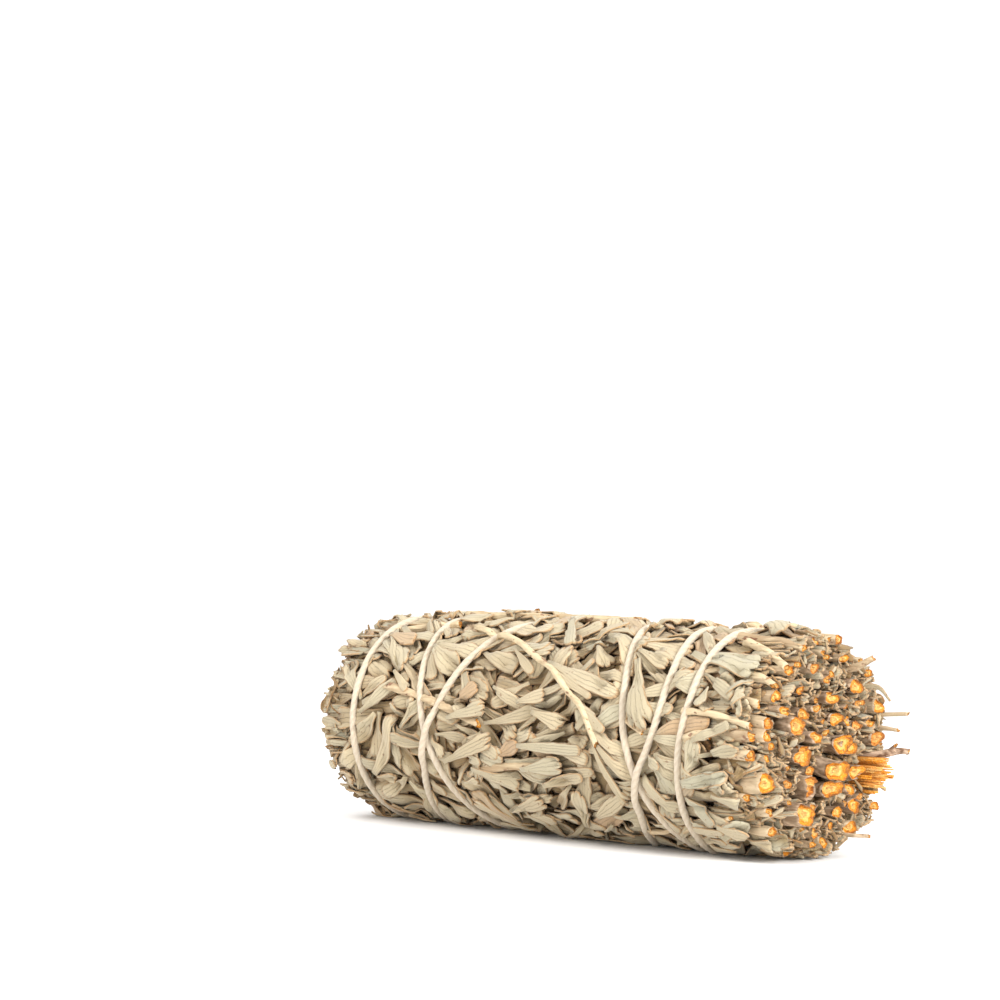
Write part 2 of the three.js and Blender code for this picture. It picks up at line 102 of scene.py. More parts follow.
def on_bundle(x, angle, radius):
    """Points in space for places on the bundle, given as arrays."""
    x, angle, radius = np.broadcast_arrays(x, angle, radius)
    return np.stack([x, AXIS_Y - radius * np.cos(angle), AXIS_Z + radius * np.sin(angle)], axis=-1)


def smooth(value):
    """A smooth step from 0 to 1."""
    t = np.clip(value, 0.0, 1.0)
    return t * t * (3 - 2 * t)


def wrapped(angle):
    """An angle between minus half a turn and half a turn."""
    return (angle + math.pi) % TURN - math.pi


@cache
def node_angle(node):
    """The angle round the bundle of a node's middle."""
    middle = in_mm(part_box(node)).mean(axis=0)
    return math.atan2(middle[2] - AXIS_Z, AXIS_Y - middle[1]) % TURN


def nearest_by_angle(nodes, angle):
    """The node whose sprig is the nearest to an angle round the bundle."""
    return min(nodes, key=lambda node: abs(wrapped(angle - node_angle(node))))


def nearest_node(nodes, point):
    """The node whose sprig is the nearest to a point in space, by its angle round the bundle."""
    return nearest_by_angle(nodes, math.atan2(point[2] - AXIS_Z, AXIS_Y - point[1]))


def curve(points, count):
    """A smooth curve through a few points, as many points long as asked."""
    points = np.asarray(points, float)
    ends = [2 * points[0] - points[1]], [2 * points[-1] - points[-2]]
    held = np.concatenate([ends[0], points, ends[1]])
    place = np.linspace(0, len(points) - 1, count)
    i = np.minimum(place.astype(int), len(points) - 2)
    t = (place - i)[:, None]
    a, b, c, d = held[i], held[i + 1], held[i + 2], held[i + 3]
    bend = a - 2.5 * b + 2 * c - d / 2
    return b + t * (c - a) / 2 + t * t * bend + t ** 3 * (1.5 * (b - c) + (d - a) / 2)


def run_along(path):
    """How far along a path each of its points is."""
    return np.concatenate([[0], np.cumsum(np.linalg.norm(np.diff(path, axis=0), axis=1))])


FAR_SHORT = 1.2  # how far short of the cuts the side's leaves end, at the far end and the near one
NEAR_SHORT = 1.0
EARLY_END = 4.0  # at the front of the near cut they end this much earlier
EARLY_ANGLE = -0.3
EARLY_SPREAD = 0.75
FACE_RIM = 21.8  # where the cut leaves begin to stand out
FACE_ROUND = 6  # and over how far inward they reach their full height


def rim_cut(angle, side=1):
    """How far along the bundle the side's leaves reach at a cut: less far at the front of the near one."""
    ragged = 0.9 * np.sin(5 * angle + side) + 0.7 * np.sin(11 * angle + 2) + 0.5 * np.sin(23 * angle)
    if side < 0:
        return FAR_CUT + FAR_SHORT + ragged
    early = np.exp(-((wrapped(angle) - EARLY_ANGLE) / EARLY_SPREAD) ** 2)
    return NEAR_CUT - NEAR_SHORT - EARLY_END * early + ragged


def face_at(distance, angle, side):
    """Where the cut leaves inside the bundle end: furthest out in the middle, and back at the rim."""
    rim = rim_cut(angle, side)
    middle = NEAR_CUT + FACE_BULGE if side > 0 else FAR_CUT - FACE_BULGE
    return rim + (middle - rim) * smooth((FACE_RIM - distance) / FACE_ROUND)


class Bed:
    """How high the leaves laid so far stand, over the side unrolled flat."""

    def __init__(self):
        self.columns = int((BED_END - BED_START) / CELL)
        self.rows = round(TURN * SIDE_RADIUS / CELL)
        self.height = np.full((self.columns, self.rows), BED_RADIUS)

    def cell(self, x, arc):
        """The column and row of each place."""
        column = np.clip(((x - BED_START) / CELL).astype(int), 0, self.columns - 1)
        return column, np.floor(arc / CELL).astype(int) % self.rows

    def under(self, x, arc):
        """The highest point just under each place."""
        column, row = self.cell(x, arc)
        height = self.height[column, row]
        for dc, dr in ((1, 0), (-1, 0), (0, 1), (0, -1)):
            near = self.height[np.clip(column + dc, 0, self.columns - 1), (row + dr) % self.rows]
            height = np.maximum(height, near)
        return height

    def raise_to(self, x, arc, height):
        """Raises the bed to these heights, where it is lower."""
        np.maximum.at(self.height, self.cell(x, arc), height)


# Leaves

LOBED, OBLONG, SPOON, NARROW = range(4)
WIDE_GRID = (8, 15)  # rows along and columns across a leaf with teeth
FINE_GRID = (9, 7)
COARSE_GRID = (6, 5)
CRUMB_GRID = (4, 3)
GRIDS = (WIDE_GRID, FINE_GRID, COARSE_GRID, CRUMB_GRID)
ACROSS = {
    15: np.array([-1, -0.86, -0.56, -0.43, -0.36, -0.29, -0.16, 0, 0.16, 0.29, 0.36, 0.43, 0.56, 0.86, 1]),
    7: np.array([-1, -0.78, -0.4, 0, 0.4, 0.78, 1]),
    5: np.array([-1, -0.5, 0, 0.5, 1]),
    3: np.array([-1, 0, 1]),
}


@dataclass
class Leaf:
    """One leaf: where its root is, which way it points, and how it is shaped."""
    x: float
    arc: float
    lean: float
    length: float
    width: float
    kind: int
    node: str = ""
    grid: tuple = FINE_GRID
    curl: float = 0.0  # how far its edges turn up, in radians; below zero, down
    sweep: float = 0.0  # how much its midrib bends sideways
    tip: float = 0.0  # how far its tip stands up
    fold: float = 0.0  # how far it is folded along the midrib
    wave: float = 0.0  # how far its blade waves up and down
    phase: float = 0.0  # where its waves and ragged edge begin
    tone: float = 0.5  # how pale it is
    hue: float = 0.0  # how blue
    dry: float = 0.0  # and how brown
    stiff: int = 8  # how well it bridges hollows
    allow: float = 0.0  # how far it may stand over the others
    places: np.ndarray = None  # its points on the bed, once it is laid
    uv: np.ndarray = None  # and where on the leaf they are


def shown_grid(kind):
    """The grid of a leaf that shows: it is finer across where it has teeth."""
    return WIDE_GRID if kind == LOBED else FINE_GRID


NOTCH_AT = 0.36  # how far out from the midrib the notches between the three teeth are


def half_width(kind, u):
    """A leaf's half width, from its root (u = 0) to its tip."""
    if kind == LOBED:
        return 0.26 + 0.74 * smooth(u / 0.85)
    if kind == OBLONG:
        return 0.4 + 0.6 * smooth(u / 0.45) - 0.1 * smooth((u - 0.75) / 0.25)
    if kind == SPOON:
        return 0.26 + 0.74 * smooth((u - 0.05) / 0.65) - 0.06 * smooth((u - 0.85) / 0.15)
    return 0.5 + 0.5 * smooth(u / 0.35) - 0.18 * smooth((u - 0.7) / 0.3)


def tip_line(leaf, v):
    """How far short of the full length a leaf ends, across its tip."""
    round_end = 0.5 * leaf.width / leaf.length * (1 - np.sqrt(np.maximum(1 - v * v, 0)))
    if leaf.kind != LOBED:
        return round_end * (1 + 0.3 * math.sin(leaf.phase * 5) * v)
    deep = 0.1 + 0.035 * math.sin(leaf.phase * 3)
    past = np.abs(v) - NOTCH_AT
    notches = np.exp(-((past / 0.075) ** 2)) * (1 + 0.3 * np.sign(v) * math.sin(leaf.phase))
    outer = 0.04 * (1 + math.sin(leaf.phase * 7)) * smooth(past / 0.1)
    return deep * notches + outer + 0.7 * round_end * smooth((np.abs(v) - 0.5) / 0.5)


def leaf_form(leaf, start=0.0, end=1.0):
    """A leaf lying straight: how far its points are along it, across it and above it."""
    rows, columns = leaf.grid
    v = ACROSS[columns][None, :]
    share = np.linspace(0, 1, rows) ** 0.85
    u = (start + (end - start) * share)[:, None]
    ragged = 1 + 0.06 * np.sin(6 * u + leaf.phase) + 0.03 * np.sin(14 * u + 2 * leaf.phase + v)
    half = leaf.width / 2 * half_width(leaf.kind, u) * ragged
    bend = leaf.curl * (0.5 + 0.5 * u) + 1e-4
    across = half * np.sin(bend * v) / bend
    rise = half * (1 - np.cos(bend * np.abs(v))) / bend
    rise = rise + leaf.fold * half * np.abs(v)
    rise = rise + leaf.wave * np.sin(7 * u + 3 * v + leaf.phase) * np.abs(v)
    rise = rise + leaf.wave * 0.7 * np.sin(5 * u + 2 * leaf.phase)
    rise = rise + leaf.tip * np.clip((u - 0.55) / 0.45, 0, 1) ** 2
    along = leaf.length * (u - tip_line(leaf, v) * smooth((u - 0.6) / 0.4))
    leaf.uv = np.stack(np.broadcast_arrays(u, v), axis=-1)
    return u, along, across, rise


def draped(base, stiff):
    """A thin springy sheet that rests on base: it keeps above it and bridges its hollows."""
    sheet = base.copy()
    along = np.empty_like(sheet)
    across = np.empty_like(sheet)
    for _ in range(stiff):
        along[1:-1] = (sheet[:-2] + sheet[2:]) / 2
        along[0], along[-1] = sheet[1], sheet[-2]
        across[:, 1:-1] = (sheet[:, :-2] + sheet[:, 2:]) / 2
        across[:, 0], across[:, -1] = sheet[:, 1], sheet[:, -2]
        sheet = np.maximum(base, 0.15 * sheet + 0.5 * along + 0.35 * across)
    return np.minimum(sheet, base + BRIDGED)


def finer(count, times):
    """A matrix that puts more points between a row's points, in a straight line."""
    places = np.linspace(0, count - 1, (count - 1) * times + 1)
    low = np.minimum(places.astype(int), count - 2)
    matrix = np.zeros((len(places), count))
    matrix[np.arange(len(places)), low] = 1 - (places - low)
    matrix[np.arange(len(places)), low + 1] = places - low
    return matrix


FINER = {grid: (finer(grid[0], 6), finer(grid[1], max(2, 24 // (grid[1] - 1))).T) for grid in GRIDS}


LEAST_SHARE = 0.3  # a leaf that the cuts leave less of than this isn't laid
CUT_UNEVEN = 1.2  # how much further or less far than the rim single leaves are cut


def lay(bed, leaf, thickness):
    """Lays a leaf on the bed, cut off where it would pass the bundle's ends."""
    run = leaf.length * math.cos(leaf.lean + leaf.sweep / 2)
    angle = (leaf.arc + leaf.length * math.sin(leaf.lean) * 0.7) / SIDE_RADIUS
    near = rim_cut(angle) + CUT_UNEVEN * math.sin(leaf.phase * 5)
    far = rim_cut(angle, -1) - CUT_UNEVEN * math.sin(leaf.phase * 7)
    start, end = 0.0, 1.0
    if abs(run) > 1e-6:
        first, last = sorted(((near - leaf.x) / run, (far - leaf.x) / run))
        start, end = max(0.0, first), min(1.0, last)
    if end - start < LEAST_SHARE:
        return False
    u, along, across, rise = leaf_form(leaf, start, end)
    half_turn = leaf.lean + leaf.sweep * u / 2
    course = leaf.lean + leaf.sweep * u
    x = leaf.x + along * np.cos(half_turn) - across * np.sin(course)
    arc = leaf.arc + along * np.sin(half_turn) + across * np.cos(course)
    height = draped(bed.under(x, arc), leaf.stiff) + SKIN + thickness / 2 + rise - rise.min()
    leaf.places = np.stack([x, arc, height], axis=-1)
    fine_along, fine_across = FINER[leaf.grid]
    bed.raise_to(*(fine_along @ part @ fine_across for part in (x, arc, height + thickness / 2)))
    return True


KINDS = [LOBED, OBLONG, SPOON, NARROW]
KIND_SHARES = [0.36, 0.28, 0.26, 0.1]
KIND_WIDTHS = {LOBED: 1.35, OBLONG: 0.88, SPOON: 0.98, NARROW: 0.62}
DOWN_AND_UP = [0.58, 0.42]  # how many leaves' edges turn down, and up
TIP_STANDS = 0.25  # how many leaves' tips stand up
DRY_SHARE = 0.06
BLUE_FROM = 15  # the leaves turn bluer from here
BLUE_OVER = 40  # over this length, towards the near cut


def random_leaf(rng, x, arc, lean, small, settings, shape=1.0):
    """A leaf of some kind, with its own size, curl and colour; shape is how far it is from flat."""
    kind = int(rng.choice(KINDS, p=KIND_SHARES))
    near = smooth((x - BLUE_FROM) / BLUE_OVER)
    return Leaf(
        x=x, arc=arc, lean=lean,
        length=settings.length / MM * rng.uniform(0.6, 1.4) * small,
        width=settings.width / MM * KIND_WIDTHS[kind] * rng.uniform(0.75, 1.3) * small,
        kind=kind,
        grid=shown_grid(kind),
        curl=rng.choice([-1, 1], p=DOWN_AND_UP) * rng.gamma(2.2, 0.23) * shape,
        sweep=rng.normal(0, 0.25),
        tip=rng.choice([0, rng.uniform(0.2, 0.9)], p=[1 - TIP_STANDS, TIP_STANDS]) * shape,
        fold=max(0.0, rng.normal(0.0, 0.11)) * shape,
        wave=abs(rng.normal(0, 0.08)) * shape,
        phase=rng.uniform(0, TURN),
        tone=rng.uniform(0, 1),
        hue=float(np.clip(rng.normal(0.12 + 0.4 * near, 0.25), 0, 1)),
        dry=float(rng.choice([0, rng.uniform(0.4, 1)], p=[1 - DRY_SHARE, DRY_SHARE])),
    )


TUFT_SIZES = [1, 2, 3, 4]
TUFT_SHARES = [0.6, 0.18, 0.14, 0.08]
TUFT_REACH = 3.0  # how far apart along the twig a tuft's leaves begin


def tuft(rng, x, arc, lean, settings, coarse, small=1.0, shape=1.0):
    """One leaf, or a few that fan out from one place with the middle one on top."""
    count = int(rng.choice(TUFT_SIZES, p=TUFT_SHARES))
    leaves = []
    sides = sorted(np.linspace(-1, 1, count), key=lambda value: -abs(value)) if count > 1 else [0]
    for side in sides:
        own = lean + side * rng.uniform(0.2, 0.55) + rng.normal(0, 0.08)
        reach = rng.uniform(0, TUFT_REACH)
        root = x + reach * math.cos(lean), arc + reach * math.sin(lean)
        leaf = random_leaf(rng, *root, own, small, settings, shape)
        leaf.grid = COARSE_GRID if coarse else leaf.grid
        leaves.append(leaf)
    return leaves


TURNED_BACK = 0.16  # how many leaves point to the far end
LOOKED_AT = np.array([[0.2], [0.45], [0.7], [0.95]])  # where along a leaf the bed's height is read


def low_place(bed, rng, x, reach, tries):
    """Where round the bundle at x, and which way, a leaf this long would lie lowest."""
    arc = rng.uniform(0, TURN * SIDE_RADIUS, tries)
    lean = rng.normal(0, 0.5, tries) + 0.35 * np.sin(x / 11 + arc / 9)
    lean = lean + math.pi * (rng.random(tries) < TURNED_BACK)
    there = reach * LOOKED_AT
    height = bed.height[bed.cell(x + there * np.cos(lean), arc + there * np.sin(lean))].mean(axis=0)
    best = int(np.argmin(height))
    return arc[best], lean[best]


# The string's route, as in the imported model: the angle that it has reached, in degrees, and where it
# is along the bundle.

STRING_ROUTE = np.array([
    (510, -41), (441, -36), (360, -28), (270, -15), (180, 0), (120, 10), (81, 16.3), (35, 23.4), (4, 26.1),
    (-21, 28.6), (-58, 32.5), (-90, 33.4), (-120, 34), (-160, 35.6), (-200, 38), (-250, 40.2), (-288, 40.9),
    (-335, 41), (-367, 39.5), (-400, 37.6), (-425, 36.7), (-450, 36.6), (-480, 36.8), (-520, 35.8),
    (-560, 33.6), (-600, 31.6), (-636, 31.3), (-680, 34.2), (-702, 34.3), (-716, 33.1), (-743, 28.5),
    (-775, 24.2), (-840, 14), (-900, 4.5), (-990, -11), (-1080, -26), (-1170, -37), (-1260, -44.5),
    (-1350, -48), (-1440, -49), (-1530, -48), (-1600, -45.2), (-1650, -42),
], dtype=float)
STRING_RADIUS = 0.7
STRING_LINE = 21.8  # its distance from the axis, where it is pressed into the leaves
STRING_GAP = 0.06  # between it and the ground
CROSSING_RISE = 1.1  # how much it rises to cross itself
CROSSING_FROM = 5.0  # it begins to rise this far from the other run
CROSSING_OVER = 3.4  # and is fully up this much nearer
TOP_BITE = 0.9  # how much deeper it bites over the top, at TOP_ANGLE
TOP_ANGLE = 100
TOP_WIDTH = 30
FAR_AWAY = 99.0


def string_along(turned):
    """Where the string is along the bundle, once it has turned by these angles (in degrees)."""
    angle, x = STRING_ROUTE.T
    i = np.clip(np.searchsorted(-angle, -turned) - 1, 0, len(x) - 2)
    before, after = np.maximum(i - 1, 0), np.minimum(i + 2, len(x) - 1)
    span = angle[i + 1] - angle[i]
    t = (turned - angle[i]) / span
    slope_a = (x[i + 1] - x[before]) / (angle[i + 1] - angle[before]) * span
    slope_b = (x[after] - x[i]) / (angle[after] - angle[i]) * span
    return (
        x[i] * (1 - smooth(t)) + x[i + 1] * smooth(t)
        + slope_a * t * (1 - t) ** 2 - slope_b * t * t * (1 - t)
    )


def string_radius(turned):
    """The string's distance from the axis. It rides over itself, and the ground holds it in."""
    x = string_along(turned)
    line = STRING_LINE - TOP_BITE * np.exp(-((((turned - TOP_ANGLE + 180) % 360) - 180) / TOP_WIDTH) ** 2)
    radius = line
    first = STRING_ROUTE[0, 0]
    for turns in range(1, 7):
        earlier = turned + 360 * turns
        apart = np.abs(string_along(np.minimum(earlier, first)) - x)
        apart = np.where(earlier <= first, apart, FAR_AWAY)
        radius = np.maximum(radius, line + CROSSING_RISE * smooth((CROSSING_FROM - apart) / CROSSING_OVER))
    down = np.maximum(-np.sin(np.radians(turned)), 0.01)
    return np.minimum(radius, (AXIS_Z - STRING_RADIUS - STRING_GAP) / down)


WHOLE_TURNS = range(-5, 2)  # the turns that the route covers
SLANT = 0.93  # the string's distance from a place, for one millimetre along the bundle


def string_clearance(x, angle):
    """For places on the side: how far the nearest string is, and its distance from the axis."""
    degrees = np.degrees(angle) % 360
    nearest = np.full(np.shape(x), FAR_AWAY)
    line = np.full(np.shape(x), STRING_LINE)
    for turns in WHOLE_TURNS:
        turned = degrees + 360 * turns
        there = (turned <= STRING_ROUTE[0, 0]) & (turned >= STRING_ROUTE[-1, 0])
        held = np.clip(turned, STRING_ROUTE[-1, 0], STRING_ROUTE[0, 0])
        apart = np.where(there, np.abs(string_along(held) - x) * SLANT, FAR_AWAY)
        line = np.where(apart < nearest, np.minimum(string_radius(held), STRING_LINE), line)
        nearest = np.minimum(nearest, apart)
    return nearest, line


PRESS_DEPTH = 0.45  # the string presses the leaves under it this far below its own line
PRESS_RISE = 0.42  # how steeply they rise away from it
PRESS_SOFT = 0.7  # how gently they are held in
LEAF_GAP = 0.15  # between the side's leaves and the ground
END_DROP = 0.6  # how much lower they are at the cuts
END_FROM = 50  # beginning this far from the bundle's middle
END_OVER = 9


def pressed(x, angle, radius, allow=0.0):
    """Heights as the string and the ground press them in, with their order kept."""
    nearest, line = string_clearance(x, angle)
    ends = smooth((np.abs(x - (NEAR_CUT + FAR_CUT) / 2) - END_FROM) / END_OVER)
    under_string = line - PRESS_DEPTH + PRESS_RISE * nearest ** 2
    ceiling = np.minimum(under_string, LEAF_TOP + allow - END_DROP * ends ** 2)
    down = np.maximum(-np.sin(angle), 0.01)
    ceiling = np.minimum(ceiling, (AXIS_Z - LEAF_GAP) / down)
    over = np.maximum(radius - (ceiling - PRESS_SOFT), 0)
    return np.where(over > 0, ceiling - PRESS_SOFT * np.exp(-over / PRESS_SOFT), radius)


# Meshes

LEAF, BARK, WOOD = 0, 1, 2
GROUND_GAP = 0.05  # no point is lower than this
GROUND_SOFT = 0.25  # and what would be is flattened over this height


def on_ground(points):
    """The points, with the lowest flattened on the ground."""
    line = GROUND_GAP + GROUND_SOFT
    flat = GROUND_GAP + GROUND_SOFT * np.exp((np.minimum(points[:, 2], line) - line) / GROUND_SOFT)
    points[:, 2] = np.where(points[:, 2] < line, flat, points[:, 2])
    return points


class Piece:
    """Gathers a piece's geometry, in millimetres, and makes it an object."""

    def __init__(self, name):
        self.name = name
        self.points = []
        self.faces = []
        self.materials = []
        self.place = []
        self.state = []
        self.count = 0

    def add(self, points, blocks, place, state):
        """blocks are (faces, material) pairs; place and state are what the materials read."""
        points = np.asarray(points, float).reshape(-1, 3)
        for faces, material in blocks:
            self.faces.append(np.asarray(faces) + self.count)
            self.materials.append(np.full(len(faces), material))
        self.points.append(points)
        self.place.append(np.broadcast_to(place, points.shape))
        self.state.append(np.broadcast_to(state, points.shape))
        self.count += len(points)

    def make(self, materials, nodes):
        mesh = bpy.data.meshes.new(self.name)
        corners = [tuple(face) for block in self.faces for face in block.tolist()]
        mesh.from_pydata((on_ground(np.concatenate(self.points)) * MM).tolist(), [], corners)
        used, index = np.unique(np.concatenate(self.materials), return_inverse=True)
        mesh.polygons.foreach_set("material_index", index.astype(np.int32))
        mesh.polygons.foreach_set("use_smooth", np.ones(len(mesh.polygons), bool))
        for name, values in (("place", self.place), ("state", self.state)):
            layer = mesh.attributes.new(name, "FLOAT_VECTOR", "POINT")
            layer.data.foreach_set("vector", np.concatenate(values).astype(np.float32).ravel())
        for material in used:
            mesh.materials.append(materials[material])
        mesh.update()
        piece = bpy.data.objects.new(self.name, mesh)
        bpy.context.scene.collection.objects.link(piece)
        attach(piece, "root")
        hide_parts(*nodes)
        return piece


def sheet_faces(rows, columns):
    """Faces of a closed thin sheet: its upper side, its lower side and the rim between them."""
    index = np.arange(rows * columns).reshape(rows, columns)
    upper = np.stack([index[:-1, :-1], index[1:, :-1], index[1:, 1:], index[:-1, 1:]], axis=-1)
    upper = upper.reshape(-1, 4)
    lower = upper[:, ::-1] + rows * columns
    ring = np.concatenate([index[0, :-1], index[:-1, -1], index[-1, :0:-1], index[:0:-1, 0]])
    after = np.roll(ring, -1)
    rim = np.stack([ring, after, after + rows * columns, ring + rows * columns], axis=-1)
    return np.concatenate([upper, lower, rim])


def add_sheets(piece, points, thickness, uv, tone, deep, hue, dry):
    """Adds thin closed sheets, given as grids of points: (sheets, rows, columns, 3)."""
    number, rows, columns = points.shape[:3]
    along = np.gradient(points, axis=1)
    across = np.gradient(points, axis=2)
    normal = np.cross(along, across)
    normal /= np.maximum(np.linalg.norm(normal, axis=-1, keepdims=True), 1e-9)
    half = thickness / 2 * (1 - 0.3 * uv[..., 1:] ** 4)
    both = np.stack([points + half * normal, points - half * normal], axis=1)
    shape = (number, rows, columns, 1)
    place = np.concatenate([uv, np.broadcast_to(np.reshape(tone, (-1, 1, 1, 1)), shape)], axis=-1)
    own = [np.broadcast_to(np.reshape(value, (-1, 1, 1, 1)), shape) for value in (hue, dry)]
    # deep is how much painted shade the material puts on each point
    state = np.concatenate([deep[..., None], *own], axis=-1)
    place = np.repeat(place[:, None], 2, axis=1)
    state = np.repeat(state[:, None], 2, axis=1)
    step = 2 * rows * columns
    faces = (sheet_faces(rows, columns)[None] + step * np.arange(number)[:, None, None]).reshape(-1, 4)
    piece.add(both.reshape(-1, 3), [(faces, LEAF)], place.reshape(-1, 3), state.reshape(-1, 3))


def frames(path):
    """Directions along a path and two across it, which turn with it as little as they can."""
    along = np.gradient(path, axis=0)
    along /= np.linalg.norm(along, axis=1, keepdims=True)
    first = np.cross(along[0], (0, 0, 1) if abs(along[0][2]) < 0.9 else (0, 1, 0))
    across = np.empty_like(path)
    for i, direction in enumerate(along):
        first = first - (first @ direction) * direction
        first = first / np.linalg.norm(first)
        across[i] = first
    return along, across, np.cross(along, across)


def spokes(turns, across, over):
    """Directions round a path, for each of its points and each angle: (points, angles, 3)."""
    return np.cos(turns)[None, :, None] * across[:, None] + np.sin(turns)[None, :, None] * over[:, None]


def ring_faces(rings, sides):
    """Faces of a closed tube given ring by ring, whose first and last points are the middles of its ends."""
    index = 1 + np.arange(rings * sides).reshape(rings, sides)
    after = np.roll(index, -1, axis=1)
    last = rings * sides + 1
    quads = np.stack([index[:-1], after[:-1], after[1:], index[1:]], axis=-1)
    first_fan = np.stack([np.zeros(sides, int), after[0], index[0]], axis=-1)
    last_fan = np.stack([index[-1], after[-1], np.full(sides, last)], axis=-1)
    return quads, first_fan, last_fan


def add_tube(piece, rings, first, last, material, state):
    """A closed tube of one material, given ring by ring and with the middles of its two ends."""
    points = np.concatenate([[first], rings.reshape(-1, 3), [last]])
    quads, first_fan, last_fan = ring_faces(*rings.shape[:2])
    faces = [(quads.reshape(-1, 4), material), (first_fan, material), (last_fan, material)]
    piece.add(points, faces, (0, 0, 0), state)


STALK_SIDES = 16
CAP_SHARES = np.array([0.95, 0.84, 0.66, 0.48, 0.3, 0.13])  # how far out the rings of a cut are
SIDE_TURNS = np.arange(STALK_SIDES) * TURN / STALK_SIDES


def cut_height(share, radius, rng):
    """The uneven height of a cut across a stem, by how far out from its pith and the angle round it."""
    tilt = rng.normal(0, 0.38)
    step = rng.choice([0, rng.uniform(0.3, 1.0)], p=[0.4, 0.6]) * min(radius, 1.4)
    tilt_way, step_way, crack_way = rng.uniform(0, TURN, 3)
    share = np.atleast_1d(share)[:, None]
    turns = SIDE_TURNS[None, :]
    stepped = smooth((share * np.cos(turns - step_way) - rng.uniform(-0.3, 0.5)) / 0.2)
    crack = np.exp(-(wrapped(turns - crack_way) / 0.26) ** 2) * smooth(share / 0.5)
    height = tilt * share * np.cos(turns - tilt_way) * radius - step * stepped
    height = height - 0.45 * radius * np.exp(-(share / 0.2) ** 2) - rng.uniform(0.2, 1.1) * radius * crack
    height = height + 0.16 * radius * smooth((share - 0.86) / 0.1)
    return height + 0.09 * radius * rng.normal(0, 1, height.shape) - 0.12 * radius * np.sin(10 * share)


def add_stalk(piece, path, radii, rng, shade_and_dark_bark=0.0, slope=0.0):
    """A stem along a path, with furrowed bark round it and uneven cut wood at its ends.

    shade_and_dark_bark paints shade on the bark of stems inside the ends and darkens the own bark of some
    twigs, and the slope turns the near cut to the front.
    """
    along, across, over = frames(path)
    phase = rng.uniform(0, TURN, 4)
    section = 1 + 0.14 * np.sin(2 * SIDE_TURNS + phase[0]) + 0.09 * np.sin(3 * SIDE_TURNS + phase[1])
    section = section + 0.06 * np.sin(5 * SIDE_TURNS + phase[2])
    groove = rng.choice([0.0, 0.5], p=[0.68, 0.32]) * np.exp(-(wrapped(SIDE_TURNS - phase[3]) / 0.45) ** 2)
    knobs = 1 + 0.06 * np.sin(np.linspace(0, 4 + len(path) / 3, len(path)) + phase[0])[:, None]
    section = (section - groove) * knobs
    reach = np.asarray(radii)[:, None] * section * (1 + rng.normal(0, 0.025, (len(path), STALK_SIDES)))
    rings = path[:, None] + reach[..., None] * spokes(SIDE_TURNS, across, over)
    shares = np.concatenate([[1.0], CAP_SHARES, [0.0]])
    caps = []
    for end, sign in ((0, -1), (-1, 1)):
        height = cut_height(shares, float(np.asarray(radii)[end]), rng)
        height[-1] = height[-1].mean()
        spread = (rings[end] - path[end])[None] * shares[:, None, None]
        if sign > 0:
            height = height + slope * spread[..., 1]
        caps.append(path[end] + spread + sign * height[..., None] * along[end])
    rings[0], rings[-1] = caps[0][0], caps[1][0]
    far, near = caps[0][1:-1][::-1], caps[1][1:-1]
    every = np.concatenate([far, rings, near])
    points = np.concatenate([[caps[0][-1][0]], every.reshape(-1, 3), [caps[1][-1][0]]])
    quads, first_fan, last_fan = ring_faces(len(every), STALK_SIDES)
    cap = len(far)
    wood = np.concatenate([quads[:cap].reshape(-1, 4), quads[-cap:].reshape(-1, 4)])
    bark = quads[cap:-cap].reshape(-1, 4)
    tone = rng.random()
    share = np.concatenate([CAP_SHARES[::-1], np.ones(len(rings)), CAP_SHARES])
    share = np.concatenate([[0], np.repeat(share, STALK_SIDES), [0]])
    state = np.stack([share, np.full(len(points), shade_and_dark_bark), np.full(len(points), tone)], axis=-1)
    faces = [(bark, BARK), (wood, WOOD), (first_fan, WOOD), (last_fan, WOOD)]
    piece.add(points, faces, (0, 0, 0), state)


# Stems at the near cut as they are seen: how far each is from the axis, its angle round the bundle in
# degrees and its radius. Those seen past the rim end further back along the side.
NEAR_STEMS = (
    (4.3, -86, 2.3), (9.9, -50, 2.1), (3.8, 177, 1.9), (8.3, -12, 2.0), (18.2, -20, 1.7), (5.6, -177, 1.6),
    (15.2, -53, 1.9), (12.8, 20, 1.6), (22.3, -58, 1.7), (12.1, 23, 1.2), (15.0, 177, 1.5), (8.0, -88, 1.7),
    (8.8, -144, 1.5), (13.8, -123, 1.5), (17.2, -114, 1.4), (17.9, 16, 1.3), (9.1, 91, 1.3),
    (9.2, 161, 1.3), (13.3, 125, 1.3), (17.1, 156, 1.3), (10.2, -125, 1.1), (27.5, -34, 1.2),
    (18.3, 8, 1.1), (5.3, 109, 1.2), (4.8, 22, 1.2), (7.3, 141, 1.0), (12.7, -100, 1.0), (22.1, -44, 1.0),
    (18.1, -88, 1.0), (18.7, 51, 1.0), (18.5, 32, 1.0), (15.6, 27, 0.9), (10.5, 37, 1.0), (21.4, 7, 1.0),
    (16.6, -75, 0.9), (20.4, 97, 0.9), (15.6, 71, 0.9), (24.2, -3, 0.9), (21.0, -2, 0.8), (11.9, 140, 0.8),
    (20.5, 76, 0.7), (19.5, 126, 0.7), (20.6, 38, 0.7), (17.6, -5, 0.6), (13.5, 52, 0.8), (8.5, 58, 0.7),
    (12.6, 84, 0.7), (16.8, 104, 0.8), (19.0, -140, 0.9), (14.6, -136, 0.7), (18.8, -75, 0.6),
    (12.2, -68, 0.7), (7.4, -36, 0.8), (14.2, -27, 0.8), (18.9, -38, 0.8), (24.0, -22, 0.7),
)
RIM_LESS_SHADE = 0.75  # how much less painted shade the bark gets at the rim than deep inside an end
SHADE_FADES_FROM = 14  # the painted shade fades from this distance from the axis
SHADE_FADES_OVER = 5
FRONT_SLOPE = 0.5  # how much the cuts across them look to the front
RIM_HELD = 20.6  # stems at the rim reach no further out than this
BACK_FOR_OUT = 0.95  # and end this much further back for each millimetre past it
